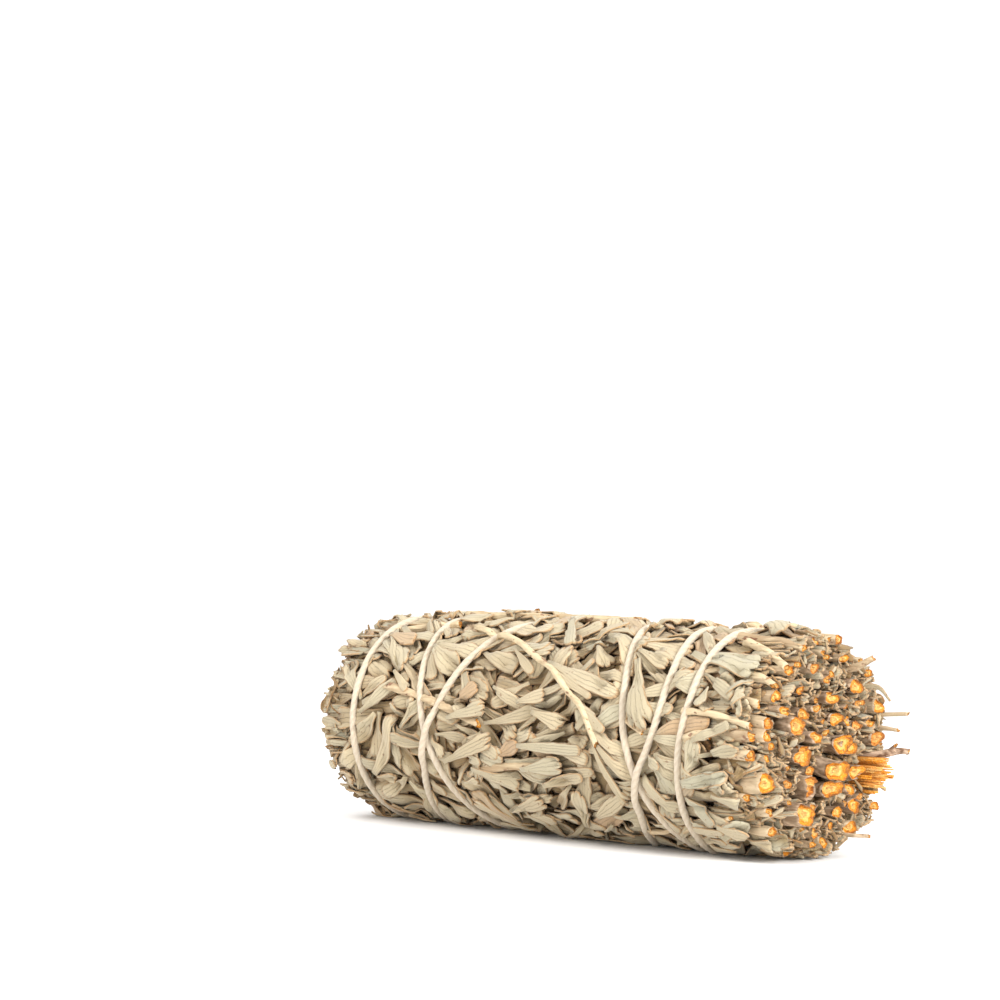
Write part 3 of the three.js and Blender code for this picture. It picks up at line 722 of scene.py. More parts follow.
BEND_LENGTH = 16  # stems turn to their place in the cut over this length
STEM_SHIFT = 4.5  # and no packed stem is moved further than this

# The thin twigs between the stems of an end: how many, their least and greatest radius, how far out
# they are, and the least gap between them
NEAR_TWIGS = 20
NEAR_TWIG_RADII = (0.45, 0.85)
NEAR_TWIG_REACH = 19.5
NEAR_TWIG_GAP = 0.2
FAR_TWIGS = 34
FAR_TWIG_RADII = (0.5, 1.15)
FAR_TWIG_REACH = 20.2
FAR_TWIG_GAP = 0.5


def stem_faces(node):
    """The middle and radius of a packed stem's round face: at the near end, then at the far one."""
    points = np.unique([tuple(v.co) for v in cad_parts[node].data.vertices], axis=0) / MM
    found = []
    for side in (1, -1):
        some = points[points[:, 0] * side > 40]
        values, counts = np.unique(np.round(some[:, 0], 2), return_counts=True)
        face = some[np.abs(some[:, 0] - values[np.argmax(counts)]) < 0.02]
        middle = face.mean(axis=0)
        found.append((middle, float(np.linalg.norm(face - middle, axis=1).mean())))
    return found


def across_place(distance, angle):
    """Sideways and upward from the axis, as a point across the bundle."""
    return np.array([AXIS_Y - distance * math.cos(angle), AXIS_Z + distance * math.sin(angle)])


def near_stem_ends(rng):
    """Where each stem at the near cut ends, and its radius."""
    ends = []
    for distance, degrees, radius in NEAR_STEMS:
        angle = math.radians(degrees)
        held = RIM_HELD - 0.5 * radius
        back = 0.0
        if distance > held:
            rise = np.clip(distance * math.sin(angle), -0.99 * held, 0.99 * held)
            front = math.copysign(math.sqrt(held ** 2 - rise ** 2), math.cos(angle))
            back = BACK_FOR_OUT * max(0.0, distance * math.cos(angle) - front)
            distance, angle = held, math.atan2(rise, front)
        face = min(face_at(distance, angle, 1), NEAR_CUT + 1 - back)
        x = face + rng.uniform(0.1, 1.1) + 0.6 * radius * rng.uniform(0.3, 1.6)
        place = across_place(distance, angle)
        place[1] = max(place[1], 1.4 * radius)
        ends.append((np.append(x, place), radius))
    while len(ends) < len(NEAR_STEMS) + NEAR_TWIGS:
        radius = rng.uniform(*NEAR_TWIG_RADII)
        distance, angle = NEAR_TWIG_REACH * math.sqrt(rng.random()), rng.uniform(0, TURN)
        place = across_place(distance, angle)
        if all(np.linalg.norm(place - end[1:]) > radius + other + NEAR_TWIG_GAP for end, other in ends):
            ends.append((np.append(face_at(distance, angle, 1) + rng.uniform(-0.2, 1.6), place), radius))
    return ends


@dataclass
class Stalk:
    """A stem or twig: the node it belongs to, its course and its radius along it."""
    node: str
    path: np.ndarray
    radii: np.ndarray


STALK_STEPS = np.array([0, 0.25, 0.8, 1.8, 3.2, 5, 7.5, 11, 16, 24, 36, 50])


def bundle_stalks():
    """The stems along the bundle, each bent to its place in the near cut, and their side shoots."""
    rng = np.random.default_rng(5)
    faces = {node: stem_faces(node) for node in STEM_NODES}
    free = near_stem_ends(rng)
    stalks = []
    for node in STEM_NODES:
        (near, own_radius), (far, far_radius) = faces[node]
        apart = [np.linalg.norm(end[1:] - near[1:]) - 1.5 * radius for end, radius in free]
        best = int(np.argmin(apart))
        if np.linalg.norm(free[best][0][1:] - near[1:]) < STEM_SHIFT:
            near, own_radius = free.pop(best)
        stalks.append(stalk_between(node, far, near, far[1:], far_radius, own_radius, rng))
    for end, radius in free:
        node = min(STEM_NODES, key=lambda name: np.linalg.norm(faces[name][0][0][1:] - end[1:]))
        stalks.append(shoot(node, faces[node][0][0][1:], end, radius, rng))
    taken = [(faces[node][1][0][1:], faces[node][1][1]) for node in STEM_NODES]
    for _ in range(FAR_TWIGS * 12):
        radius = rng.uniform(*FAR_TWIG_RADII)
        distance, angle = FAR_TWIG_REACH * math.sqrt(rng.random()), rng.uniform(0, TURN)
        place = across_place(distance, angle)
        if all(np.linalg.norm(place - other) > radius + size + FAR_TWIG_GAP for other, size in taken):
            taken.append((place, radius))
            node = min(STEM_NODES, key=lambda name: np.linalg.norm(faces[name][1][0][1:] - place))
            x = face_at(distance, angle, -1) - rng.uniform(0.2, 2.6)
            stalks.append(shoot(node, faces[node][1][0][1:], np.append(x, place), radius, rng))
        if len(taken) > len(STEM_NODES) + FAR_TWIGS:
            break
    return stalks


def stalk_between(node, far, near, middle, far_radius, near_radius, rng):
    """A stem from end to end: along its packed place, and to its places in the two cuts."""
    length = near[0] - far[0]
    steps = STALK_STEPS[STALK_STEPS < length / 2]
    s = np.concatenate([steps, length - steps[::-1]])
    path = np.empty((len(s), 3))
    path[:, 0] = far[0] + s
    at_far = 1 - smooth(s / BEND_LENGTH)[:, None]
    at_near = 1 - smooth((length - s) / BEND_LENGTH)[:, None]
    path[:, 1:] = middle + (far[1:] - middle) * at_far + (near[1:] - middle) * at_near
    bend = np.sin(s / length * math.pi)[:, None]
    path[:, 1:] += bend * (np.sin(s * 0.11 + rng.uniform(0, TURN))[:, None] * rng.normal(0, 0.3, 2))
    radii = far_radius + (near_radius - far_radius) * smooth(s / length)
    return Stalk(node, path, radii)


def shoot(node, root, end, radius, rng):
    """A side shoot that leaves a stem inside the bundle and ends in the cut."""
    side = math.copysign(1, end[0])
    length = rng.uniform(13, 18)
    s = STALK_STEPS[STALK_STEPS < length]
    s = np.append(s, length)[::-1]
    path = np.empty((len(s), 3))
    path[:, 0] = end[0] - side * s
    path[:, 1:] = end[1:] + (root - end[1:]) * smooth((s - 3) / (length - 3))[:, None]
    path[:, 1:] += (s * rng.normal(0, 0.02))[:, None]
    return Stalk(node, path, radius * (1 - 0.25 * smooth((s - 3) / (length - 3))))


# Twigs that stand out of the near end: their courses (x, distance from the axis and degrees round it),
# radius and how dark their bark is
PROUD_TWIGS = (
    (((46, 14.6, 120), (57, 16.2, 119), (62.5, 18.6, 117)), 0.8, 0.2),
    (((50, 18.4, 165), (58.5, 19.1, 164), (63.5, 19.3, 163)), 0.42, 0.2),
    (((48, 16.8, 171), (58, 17.3, 171), (61.8, 17.6, 172)), 0.5, 0.4),
    (((46, 14.4, -168), (57, 14.8, -170), (62.3, 16.8, -175), (64.2, 17.9, -175)), 0.72, 1.25),
    (((58.5, 15.6, -171), (61.0, 16.0, -175), (63, 15.0, -179)), 0.5, 1.25),
    (((48, 17.0, -107), (57, 18.0, -109), (62, 18.9, -115)), 0.42, 0.8),
)
# The split stem at the back of the near end: its middle (distance and degrees), how far its splinters
# spread across and up, and how many there are
SPLIT_MIDDLE = (14.4, -155)
SPLIT_SPREAD = (2.3, 3.5)
SPLIT_DEPTH = 9  # how far inside the end its splinters begin
SPLINTERS = 70
SPLINTER_SIDES = 5
SPLINTER_RADII = (0.2, 0.42)
SPLINTER_REACH = (2.6, 5.0)  # how far out of the cut they stand

# The narrow leaf whose tip curls out of the near end: its course and its half width
PROUD_LEAF = ((54, 15.4, 135), (58, 16, 137), (61, 16.3, 139), (63.2, 15.2, 147))
PROUD_LEAF_HALF = 0.5


def in_space(course):
    """The points of a course given by places (x, distance from the axis, degrees round it)."""
    places = [np.append(x, across_place(far, math.radians(degrees))) for x, far, degrees in course]
    return np.array(places)


def add_proud_twigs(piece, node, rng):
    """The twigs that stand out of the near end, and the splinters of the split stem, of one node."""
    outer_stems = [name for name in STEM_NODES if "outer" in name]
    for course, radius, dark in PROUD_TWIGS:
        points = in_space(course)
        if nearest_node(outer_stems, points[-1]) == node:
            path = curve(points, 18)
            add_stalk(piece, path, radius * np.linspace(1.15, 0.75, len(path)), rng, dark, FRONT_SLOPE)
    middle = in_space([(NEAR_CUT, *SPLIT_MIDDLE)])[0]
    if nearest_node(outer_stems, middle) != node:
        return
    for _ in range(SPLINTERS):
        turned, far = rng.uniform(0, TURN), math.sqrt(rng.random())
        aside = far * math.cos(turned) * SPLIT_SPREAD[0]
        up = far * math.sin(turned) * SPLIT_SPREAD[1]
        reach = rng.uniform(*SPLINTER_REACH) + 0.25 * up
        start = middle + (-SPLIT_DEPTH, 0.4 * aside, 0.3 * up)
        tip = middle + (reach, aside + 0.3 * reach, up + rng.normal(0, 0.15))
        bend = (0.55 * start + 0.45 * tip) + (0, 0.25 * aside, 0.3 * up) + rng.normal(0, 0.1, 3)
        path = curve(np.array([start, bend, tip]), 6)
        add_splinter(piece, path, rng.uniform(*SPLINTER_RADII), rng)


def add_splinter(piece, path, radius, rng):
    """A splinter of wood: thin, with few sides, and pointed."""
    _, across, over = frames(path)
    turns = np.arange(SPLINTER_SIDES) * TURN / SPLINTER_SIDES + rng.uniform(0, TURN)
    narrowing = np.linspace(1.1, 0.55, len(path))[:, None]
    reach = radius * narrowing * rng.uniform(0.75, 1.25, (1, SPLINTER_SIDES))
    rings = path[:, None] + reach[..., None] * spokes(turns, across, over)
    point = path[-1] + 0.5 * radius * rng.normal(1, 0.5, 3)
    tone = rng.random()
    add_tube(piece, rings, path[0], point, WOOD, (rng.uniform(0.3, 0.8), 0, tone))


def add_proud_leaf(piece, node, thickness):
    """The narrow leaf whose tip curls out of the near end."""
    path = curve(in_space(PROUD_LEAF), 12)
    if nearest_node(OUTER_NODES, path[-1]) != node:
        return
    _, across, over = frames(path)
    u = np.linspace(0, 1, len(path))
    v = ACROSS[5]
    half = PROUD_LEAF_HALF * (0.5 + 0.5 * smooth(u / 0.4) - 0.6 * smooth((u - 0.5) / 0.5))
    sideways = half[:, None] * v[None, :]
    hollow = 0.35 * (sideways ** 2)[..., None] * across[:, None]
    points = path[:, None] + sideways[..., None] * over[:, None] + hollow
    uv = np.stack(np.broadcast_arrays(u[:, None], v[None, :]), axis=-1)
    # A little painted shade
    deep = np.full((1, *sideways.shape), 0.4)
    add_sheets(piece, points[None], thickness, uv[None], 0.2, deep, 0.2, 0)


# Leaves that stand out in the photograph: the places of root and tip (x and degrees round the bundle),
# the width, the kind, and how far the edges turn up.

SEEN_LEAVES = (
    (37.8, 48, 56.4, 43, 6.1, LOBED, 0.3),
    (42.1, 38, 51.6, 25, 2.5, SPOON, -0.5),
    (45.0, -49, 52.8, -38, 4.4, OBLONG, 0.4),
    (39.0, -19, 51.0, -13, 5.6, SPOON, 2.3),
    (25.6, 42, 31.6, 6, 5.6, LOBED, -0.8),
    (24.7, 48, 32.5, 42, 3.6, LOBED, -0.4),
    (30.3, -16, 37.7, -36, 2.4, OBLONG, 0.7),
    (8.6, 52, 14.9, 72, 2.6, OBLONG, 0.9),
    (-1.2, 75, 6.2, 49, 2.7, SPOON, -0.8),
    (-7.7, 45, 0.2, 31, 2.0, SPOON, 0.6),
    (-22.0, -18, -8.0, -4, 3.4, LOBED, -0.6),
    (-14.0, -20, -2.5, -28, 3.0, LOBED, -0.5),
    (-20.0, 5, -10.0, 12, 3.2, LOBED, -0.6),
    (-9.0, -47, 3.0, -35, 3.6, LOBED, 0.5),
    (-1.5, 15, 5.5, 20, 3.0, LOBED, -0.5),
    (3.1, 11, 11.1, 6, 3.4, LOBED, 0.8),
    (-0.4, -6, 16.5, -6, 2.2, OBLONG, -0.5),
    (11.0, -51, 13.6, -27, 4.2, LOBED, 0.9),
    (-0.2, -18, 10.7, -14, 3.7, LOBED, -0.4),
    (4.6, -26, 15.9, -19, 2.4, OBLONG, 0.7),
    (15.9, -42, 25.2, -28, 3.0, OBLONG, -0.6),
    (32.0, -6, 36.0, -11, 2.4, SPOON, -0.7),
    (44.6, 30, 44.0, 19, 2.2, SPOON, -0.6),
    (40.5, -25, 45.6, -39, 2.5, OBLONG, 0.6),
    (38.3, -44, 46.8, -44, 1.6, NARROW, 0.3),
    (46.0, -40, 51.5, -47, 4.4, SPOON, 1.0),
    (47.0, -23, 54.0, -30, 2.7, SPOON, -0.5),
    (45.5, -4, 53.6, 0, 2.8, LOBED, 0.5),
    (44.2, 3, 52.9, 13, 1.8, NARROW, 0.4),
    (52.0, 33, 53.6, 16, 1.4, NARROW, 0.4),
    (51.5, 20, 54.8, 31, 2.5, SPOON, 1.5),
    (50.0, 26, 53.4, 37, 2.2, SPOON, 1.7),
    (42.6, 94, 51.0, 79, 4.4, OBLONG, -0.6),
)

# Twigs that lie on the side: the places of both ends and the radius
SEEN_TWIGS = (
    (-34, 83, 11, 87, 1.0),
    (40, 73, 58.5, 66, 0.75),
    (45, 67, 58, 50, 0.95),
    (50, 43, 58, 36, 0.75),
    (42, 4, 47.6, 6, 0.8),
    (40, 17, 55.5, 12, 0.95),
    (44, 28, 56, 24, 0.8),
    (-13, -22, 4, -17, 0.8),
    (-40, 20, -12, 3, 0.8),
    (36, 100, 57, 96, 0.9),
)

# The sprigs laid on the side: the course of each stem, from the root
LAID_COURSES = {
    "sprig_laid_1": (
        (-24, 62), (-8.7, 49.8), (-0.7, 40), (5.5, 33), (11.9, 21.5), (16.5, 13.5), (20.8, -2.3),
    ),
    "sprig_laid_2": ((-36, 131), (-30, 120), (-25, 109), (-20, 99)),
    "sprig_laid_3": ((14, 232), (17, 214), (17.5, 196), (18, 176)),
}
SEEN_SPRIG_LEAVES = (
    (19.9, -3, 25.2, -33, 3.0, LOBED, -0.6),
    (21.0, -3, 28.3, -20, 2.2, OBLONG, -0.8),
    (18.2, 7, 26.7, -7, 2.0, OBLONG, 0.7),
    (13.5, 19, 22.5, 4, 1.9, OBLONG, -0.7),
    (6.4, 32, 17.8, 20, 1.9, NARROW, 0.8),
    (3.6, 37, 23.4, 22.5, 3.5, SPOON, 0.75),
)


def leaf_between(rng, row, settings):
    """A leaf from its root to its tip."""
    x, degrees, tip_x, tip_degrees, width, kind, curl = row
    arc, tip_arc = (math.radians(value) * SIDE_RADIUS for value in (degrees, tip_degrees))
    leaf = random_leaf(rng, x, arc, math.atan2(tip_arc - arc, tip_x - x), 1.0, settings)
    leaf.length = math.hypot(tip_arc - arc, tip_x - x)
    leaf.width, leaf.kind, leaf.curl, leaf.sweep = width, kind, curl, 0.0
    leaf.grid = shown_grid(kind)
    leaf.dry, leaf.tone = 0.0, rng.uniform(0.2, 0.65)
    return leaf


HIDDEN_TUFTS = 260
HIDDEN_STIFFNESS = 1
HIDDEN_SHAPE = 0.25
HIDDEN_SIZE = 1.3
LOWER_STIFFNESS = 2
LOWER_SHAPE = 0.6
SHOWN_STIFFNESS = 4
LAST_SHARE = 0.18  # of the shown tufts, these come last, in the hollows that are left
LAST_SIZE = 0.68
TUFT_LENGTH = 11  # over which a tuft looks for a low place
BURIED_TWIGS = 16  # between the lower leaves and the upper ones
BURIED_LENGTHS = (12, 30)
BURIED_RADII = (0.45, 0.9)
TWIG_STEP = 0.8
TWIG_SPAN = 40  # how well a twig bridges hollows
SEEN_ALLOWED = 0.35  # how far the leaves that stand out may rise over the others
TWIG_ALLOWED = 0.25  # and the twigs, less their radius
LAID_RADIUS = 0.66
LAID_ALLOWED = 0.75  # and the laid sprigs' stems
LAID_RISE = 0.3
SPRIG_ALLOWED = 0.5  # and their leaves
SPRIG_POINTS = 60
SPRIG_STEP = 6  # a laid sprig has a leaf at every sixth point
ENDS_APART = 10  # the bed's height is judged this far from its ends
SETTLED_RANK = 70  # this per cent of the side is to lie under LEAF_TOP, by SETTLED_UNDER
SETTLED_UNDER = 0.35


class Bundle:
    """What the operators share: the leaves and twigs as they lie on the side."""

    def __init__(self):
        self.bed = Bed()
        self.leaves = []
        self.twigs = []
        self.stalks = []
        self.scale = 1.0

    def put(self, leaf, thickness, node=None):
        """Lays a leaf, if the cuts leave enough of it, for a node or for the nearest one."""
        if lay(self.bed, leaf, thickness):
            leaf.node = node or nearest_by_angle(OUTER_NODES, leaf.arc / SIDE_RADIUS)
            self.leaves.append(leaf)

    def put_twig(self, rng, course, radius, node=None, sink=0.6):
        """Lays a twig on the bed, along a course given by places (x, arc)."""
        count = max(6, int(run_along(course)[-1] / TWIG_STEP))
        x, arc = curve(course, count).T
        way = np.stack([np.gradient(x), np.gradient(arc)])
        side = np.stack([-way[1], way[0]]) / np.linalg.norm(way, axis=0)
        sheet = self.bed.under(x, arc)
        base = sheet.copy()
        for _ in range(TWIG_SPAN):
            held = np.concatenate([[sheet[1]], sheet, [sheet[-2]]])
            sheet = np.maximum(base, (held[:-2] + held[2:]) / 2)
        height = sheet + sink * radius
        for offset in np.linspace(-0.95, 0.95, 9):
            top = height + radius * math.sqrt(1 - offset ** 2)
            self.bed.raise_to(x + side[0] * offset * radius, arc + side[1] * offset * radius, top)
        if node is None:
            node = nearest_by_angle(OUTER_NODES, arc.mean() / SIDE_RADIUS).replace("leaves", "stem")
        radii = radius * (1 - 0.15 * np.linspace(0, 1, count) + rng.normal(0, 0.03, count))
        self.twigs.append((node, np.stack([x, arc, height], axis=-1), radii))

    def tufts(self, rng, count, settings, tries, stiff, small=1.0, shape=1.0, coarse=False):
        """Lays tufts from the near end to the far one, so that each covers the roots of those before it."""
        for x in np.linspace(NEAR_CUT - 1, FAR_CUT - 6, count) + rng.normal(0, 5, count):
            arc, lean = low_place(self.bed, rng, x, TUFT_LENGTH * small, tries)
            for leaf in tuft(rng, x, arc, lean, settings, coarse, small, shape):
                leaf.stiff = stiff
                self.put(leaf, settings.thickness / MM)

    def fill(self, settings):
        """Lays everything that is on the side, from the lowest leaves to the laid sprigs."""
        rng = np.random.default_rng(11)
        thickness = settings.thickness / MM
        self.tufts(rng, HIDDEN_TUFTS, settings, tries=6, stiff=HIDDEN_STIFFNESS, small=HIDDEN_SIZE,
                   shape=HIDDEN_SHAPE, coarse=True)
        shown = int(settings.tufts * (1 - LAST_SHARE))
        self.tufts(rng, shown // 2, settings, tries=6, stiff=LOWER_STIFFNESS, shape=LOWER_SHAPE)
        for _ in range(BURIED_TWIGS):
            x = rng.uniform(FAR_CUT, NEAR_CUT - 8)
            arc, _ = low_place(self.bed, rng, x, reach=15, tries=3)
            turned, run = rng.normal(0, 0.25), rng.uniform(*BURIED_LENGTHS)
            end = min(x + run * math.cos(turned), NEAR_CUT), arc + run * math.sin(turned)
            bow = (x + end[0]) / 2, (arc + end[1]) / 2 + rng.normal(0, 0.8)
            self.put_twig(rng, np.array([(x, arc), bow, end]), rng.uniform(*BURIED_RADII))
        self.tufts(rng, shown - shown // 2, settings, tries=8, stiff=SHOWN_STIFFNESS)
        for x, degrees, end_x, end_degrees, radius in SEEN_TWIGS:
            course = np.radians([degrees, end_degrees]) * SIDE_RADIUS
            middle = (x + end_x) / 2, course.mean() + 0.6
            self.put_twig(rng, np.array([(x, course[0]), middle, (end_x, course[1])]), radius, sink=-0.1)
        self.tufts(rng, settings.tufts - shown, settings, tries=16, stiff=SHOWN_STIFFNESS, small=LAST_SIZE)
        for node, course in LAID_COURSES.items():
            self.lay_sprig(rng, node, course, settings)
        for row in SEEN_LEAVES:
            leaf = leaf_between(rng, row, settings)
            leaf.allow = SEEN_ALLOWED
            self.put(leaf, thickness)
        left_out = int(ENDS_APART / CELL)
        high = np.percentile(self.bed.height[left_out:-left_out], SETTLED_RANK)
        self.scale = min(1.0, (LEAF_TOP - SETTLED_UNDER - BED_RADIUS) / (high - BED_RADIUS))

    def lay_sprig(self, rng, node, course, settings):
        """A sprig on the side: its stem, and leaves that leave it by turns on its two sides."""
        x, degrees = np.array(course).T
        places = np.stack([x, np.radians(degrees) * SIDE_RADIUS], axis=-1)
        self.put_twig(rng, places, LAID_RADIUS, node=node, sink=0.35)
        if node == LAID_NODES[0]:
            for row in SEEN_SPRIG_LEAVES:
                leaf = leaf_between(rng, row, settings)
                leaf.allow = SPRIG_ALLOWED
                self.put(leaf, settings.thickness / MM, node)
            return
        whole = curve(places, SPRIG_POINTS)
        way = np.gradient(whole, axis=0)
        for i in range(SPRIG_STEP, SPRIG_POINTS, SPRIG_STEP):
            side = 1 if (i // SPRIG_STEP) % 2 else -1
            lean = math.atan2(way[i][1], way[i][0]) + side * rng.uniform(0.3, 0.6)
            leaf = random_leaf(rng, whole[i][0], whole[i][1], lean, 1.0, settings)
            leaf.allow = SPRIG_ALLOWED
            self.put(leaf, settings.thickness / MM, node)

    def settled(self, height):
        """Heights in the bed, as the tied bundle holds them."""
        return BED_RADIUS + (height - BED_RADIUS) * self.scale

    def add_leaves(self, piece, node, thickness):
        """Adds the leaves of one node to its piece."""
        for grid in GRIDS:
            some = [leaf for leaf in self.leaves if leaf.node == node and leaf.grid == grid]
            if not some:
                continue
            x, arc, height = np.moveaxis(np.stack([leaf.places for leaf in some]), -1, 0)
            allow = np.array([leaf.allow for leaf in some])[:, None, None]
            angle = arc / SIDE_RADIUS
            radius = pressed(x, angle, self.settled(height) + allow, allow)
            # Painted shade: the further a leaf lies below the top of the leaves, the darker its material
            # paints it
            deep = np.clip((LEAF_TOP - radius) / (LEAF_TOP - BED_RADIUS), 0, 1)
            uv = np.stack([leaf.uv for leaf in some])
            tone, hue, dry = ([getattr(leaf, name) for leaf in some] for name in ("tone", "hue", "dry"))
            add_sheets(piece, on_bundle(x, angle, radius), thickness, uv, tone, deep, hue, dry)

    def add_twigs(self, piece, node, rng):
        """Adds the twigs of one node to its piece."""
        laid = node in LAID_NODES
        for own, places, radii in self.twigs:
            if own == node:
                x, arc, height = places.T
                angle = arc / SIDE_RADIUS
                allow = LAID_ALLOWED if laid else TWIG_ALLOWED - float(radii.mean())
                radius = pressed(x, angle, self.settled(height) + (LAID_RISE if laid else 0), allow)
                add_stalk(piece, on_bundle(x, angle, radius), radii, rng)


bundle = Bundle()


CORE_DEPTH = 4.2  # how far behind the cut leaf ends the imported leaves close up
CORE_RADIUS = BED_RADIUS - 0.5
CORE_GRID = 13


def add_core(piece, node):
    """The leaves packed inside a sprig's cell, closed up and crumpled where the cuts show them, painted in
    deep shade.
    """
    share = np.linspace(-1, 1, CORE_GRID)
    first, second = np.meshgrid(share, share, indexing="ij")
    if node in OUTER_NODES or node in MIDDLE_NODES:
        ring = OUTER_NODES if node in OUTER_NODES else MIDDLE_NODES
        low, high = (MIDDLE_CELL, CORE_RADIUS) if node in OUTER_NODES else (CENTRE_CELL, MIDDLE_CELL)
        angle = node_angle(node) + first * math.pi / len(ring)
        distance = (low + high) / 2 + second * (high - low) / 2
        across, up = -distance * np.cos(angle), distance * np.sin(angle)
    else:
        across = -CENTRE_CELL * first * np.sqrt(1 - second ** 2 / 2)
        up = CENTRE_CELL * second * np.sqrt(1 - first ** 2 / 2)
    distance, angle = np.hypot(across, up), np.arctan2(up, -across)
    grids = []
    for side in (1, -1):
        crumpled = 0.9 * np.sin(2.3 * across + side) * np.sin(2.1 * up)
        crumpled = crumpled + 0.6 * np.sin(1.3 * across - 1.7 * up)
        x = face_at(distance, angle, side) - side * (CORE_DEPTH + crumpled)
        grids.append(np.stack([x, across + AXIS_Y, up + AXIS_Z], axis=-1))
    faces = sheet_faces(CORE_GRID, CORE_GRID)
    # The core gets the full painted shade of the deepest leaves
    piece.add(np.stack(grids), [(faces, LEAF)], (0.5, 0.5, 0.3), (2, 0.2, 0))


# The cut ends

FACE_CELL = 0.24
FACE_CELLS = 196
STRIP_POINTS = 9
STRIP_DEPTHS = np.array([0, 0.3, 1.2, 3.0, 6.5])  # how far behind the cut a strip's rows are
STRIP_TRIES = ((1200, 2.4, 3.6), (2600, 1.5, 2.6), (4000, 0.8, 1.7))  # tries, least and greatest width
STRIP_RIM = 21.2
STRIP_THICKNESS = 0.4
STRIP_GAP = 0.12  # between a strip and a stem
CROSSED = 0.12  # how much of a strip may cross others
STRIP_BACK = 1.1  # how far behind the cut they end on average
FLAT, CURLED, ROLLED = range(3)
CURL_SHARES = [0.62, 0.3, 0.08]


def strip_lines(turning, heading, width, bend_back, middle):
    """Points across curled strips, seen along the bundle: (strips, points, 2)."""
    s = np.linspace(-0.5, 0.5, STRIP_POINTS)
    course = heading[:, None] + turning[:, None] * (s + bend_back[:, None] * (4 * s * s - 0.5) * 0.6)
    step = np.stack([np.cos(course), np.sin(course)], axis=-1) * (width[:, None, None] / (STRIP_POINTS - 1))
    line = np.cumsum(step, axis=1)
    return line - line[:, STRIP_POINTS // 2:STRIP_POINTS // 2 + 1] + middle[:, None]


def place_strips(rng, stems):
    """Strips that fill an end between its stems without crossing each other."""
    taken = np.zeros((FACE_CELLS, FACE_CELLS), bool)
    grid = (np.arange(FACE_CELLS) - FACE_CELLS / 2 + 0.5) * FACE_CELL
    across, up = np.meshgrid(grid, grid, indexing="ij")
    for place, radius in stems:
        near = np.hypot(across - (place[0] - AXIS_Y), up - (place[1] - AXIS_Z)) < radius + STRIP_GAP
        taken |= near
    kept = []
    for tries, least, most in STRIP_TRIES:
        distance = STRIP_RIM * np.sqrt(rng.random(tries))
        angle = rng.uniform(0, TURN, tries)
        middle = np.stack([-distance * np.cos(angle), distance * np.sin(angle)], axis=-1)
        width = rng.uniform(least, most, tries)
        curl = rng.choice([FLAT, CURLED, ROLLED], tries, p=CURL_SHARES)
        turning = np.where(curl == FLAT, rng.uniform(0.1, 1.2, tries), rng.uniform(1.2, 2.8, tries))
        turning = np.where(curl == ROLLED, rng.uniform(3.2, 5.0, tries), turning) * rng.choice([-1, 1], tries)
        heading = rng.uniform(0, TURN, tries)
        bend_back = rng.choice([0, 1], tries, p=[0.75, 0.25]).astype(float)
        lines = strip_lines(turning, heading, width, bend_back, middle)
        cells = np.clip((lines / FACE_CELL + FACE_CELLS / 2).astype(int), 1, FACE_CELLS - 2)
        for k in range(tries):
            i, j = cells[k].T
            if taken[i, j].mean() > CROSSED or np.hypot(*lines[k].T).max() > STRIP_RIM:
                continue
            for di in (-1, 0, 1):
                for dj in (-1, 0, 1):
                    taken[i + di, j + dj] = True
            kept.append((turning[k], heading[k], width[k], bend_back[k], *middle[k]))
    return np.array(kept)


def end_strips(side, stems):
    """The cut leaves that show at one end: their grids of points, and what the material reads."""
    rng = np.random.default_rng(31 + side)
    turning, heading, width, bend_back, out, up = place_strips(rng, stems).T
    number = len(turning)
    middle = np.stack([out, up], axis=-1)
    distance, angle = np.hypot(out, up), np.arctan2(up, -out)
    top = face_at(distance, angle, side) + side * rng.normal(-STRIP_BACK, 1.1, number)
    held = 1 - 0.75 * smooth((distance[:, None] - 17) / 3)
    lean = rng.normal(0, 0.26, (number, 2)) * held + 0.08 * middle / 21 * smooth((distance[:, None] - 14) / 6)
    tilt = rng.normal(0, 0.6, number)
    v = np.linspace(-1, 1, STRIP_POINTS)
    grids = np.empty((number, len(STRIP_DEPTHS), STRIP_POINTS, 3))
    for row, depth in enumerate(STRIP_DEPTHS):
        closing = 1 - 0.3 * depth / STRIP_DEPTHS[-1]
        lines = strip_lines(turning * closing, heading, width, bend_back, middle - lean * depth)
        ragged = tilt[:, None] * v + 0.28 * np.sin(5 * v + heading[:, None] * 3)
        ragged = ragged + 0.16 * np.sin(11 * v + heading[:, None] * 5)
        ragged = ragged * max(0.0, 1 - depth / 3)
        grids[:, row, :, 0] = top[:, None] - side * (depth + ragged)
        grids[:, row, :, 1:] = lines + (AXIS_Y, AXIS_Z)
    u = 1 - STRIP_DEPTHS / 8
    u, v, _ = np.broadcast_arrays(u[None, :, None], v[None, None, :], np.zeros((number, 1, 1)))
    # Painted shade: a strip is darker the further its rows lie behind the cut, and less so near the rim
    shut = 1 - smooth((distance - 13) / 4)
    deep = 2 * smooth(STRIP_DEPTHS / 4.5) * shut[:, None]
    deep = np.broadcast_to(deep[:, :, None], grids.shape[:3])
    tone, hue = rng.random(number), np.clip(rng.normal(0.45, 0.3, number), 0, 1)
    return grids, np.stack([u, v], axis=-1), tone, deep, hue, distance, angle


def stems_at(side):
    """Where the stems stand in one end, and their radii there."""
    found = []
    for stalk in bundle.stalks:
        last = int(np.argmax(stalk.path[:, 0] * side))
        if stalk.path[last, 0] * side > 0:
            found.append((stalk.path[last, 1:], float(stalk.radii[last])))
    if side > 0:
        middle = across_place(SPLIT_MIDDLE[0], math.radians(SPLIT_MIDDLE[1]))
        found += [(middle + (0, up), SPLIT_SPREAD[0]) for up in (-1.2, 1.2)]
    return found


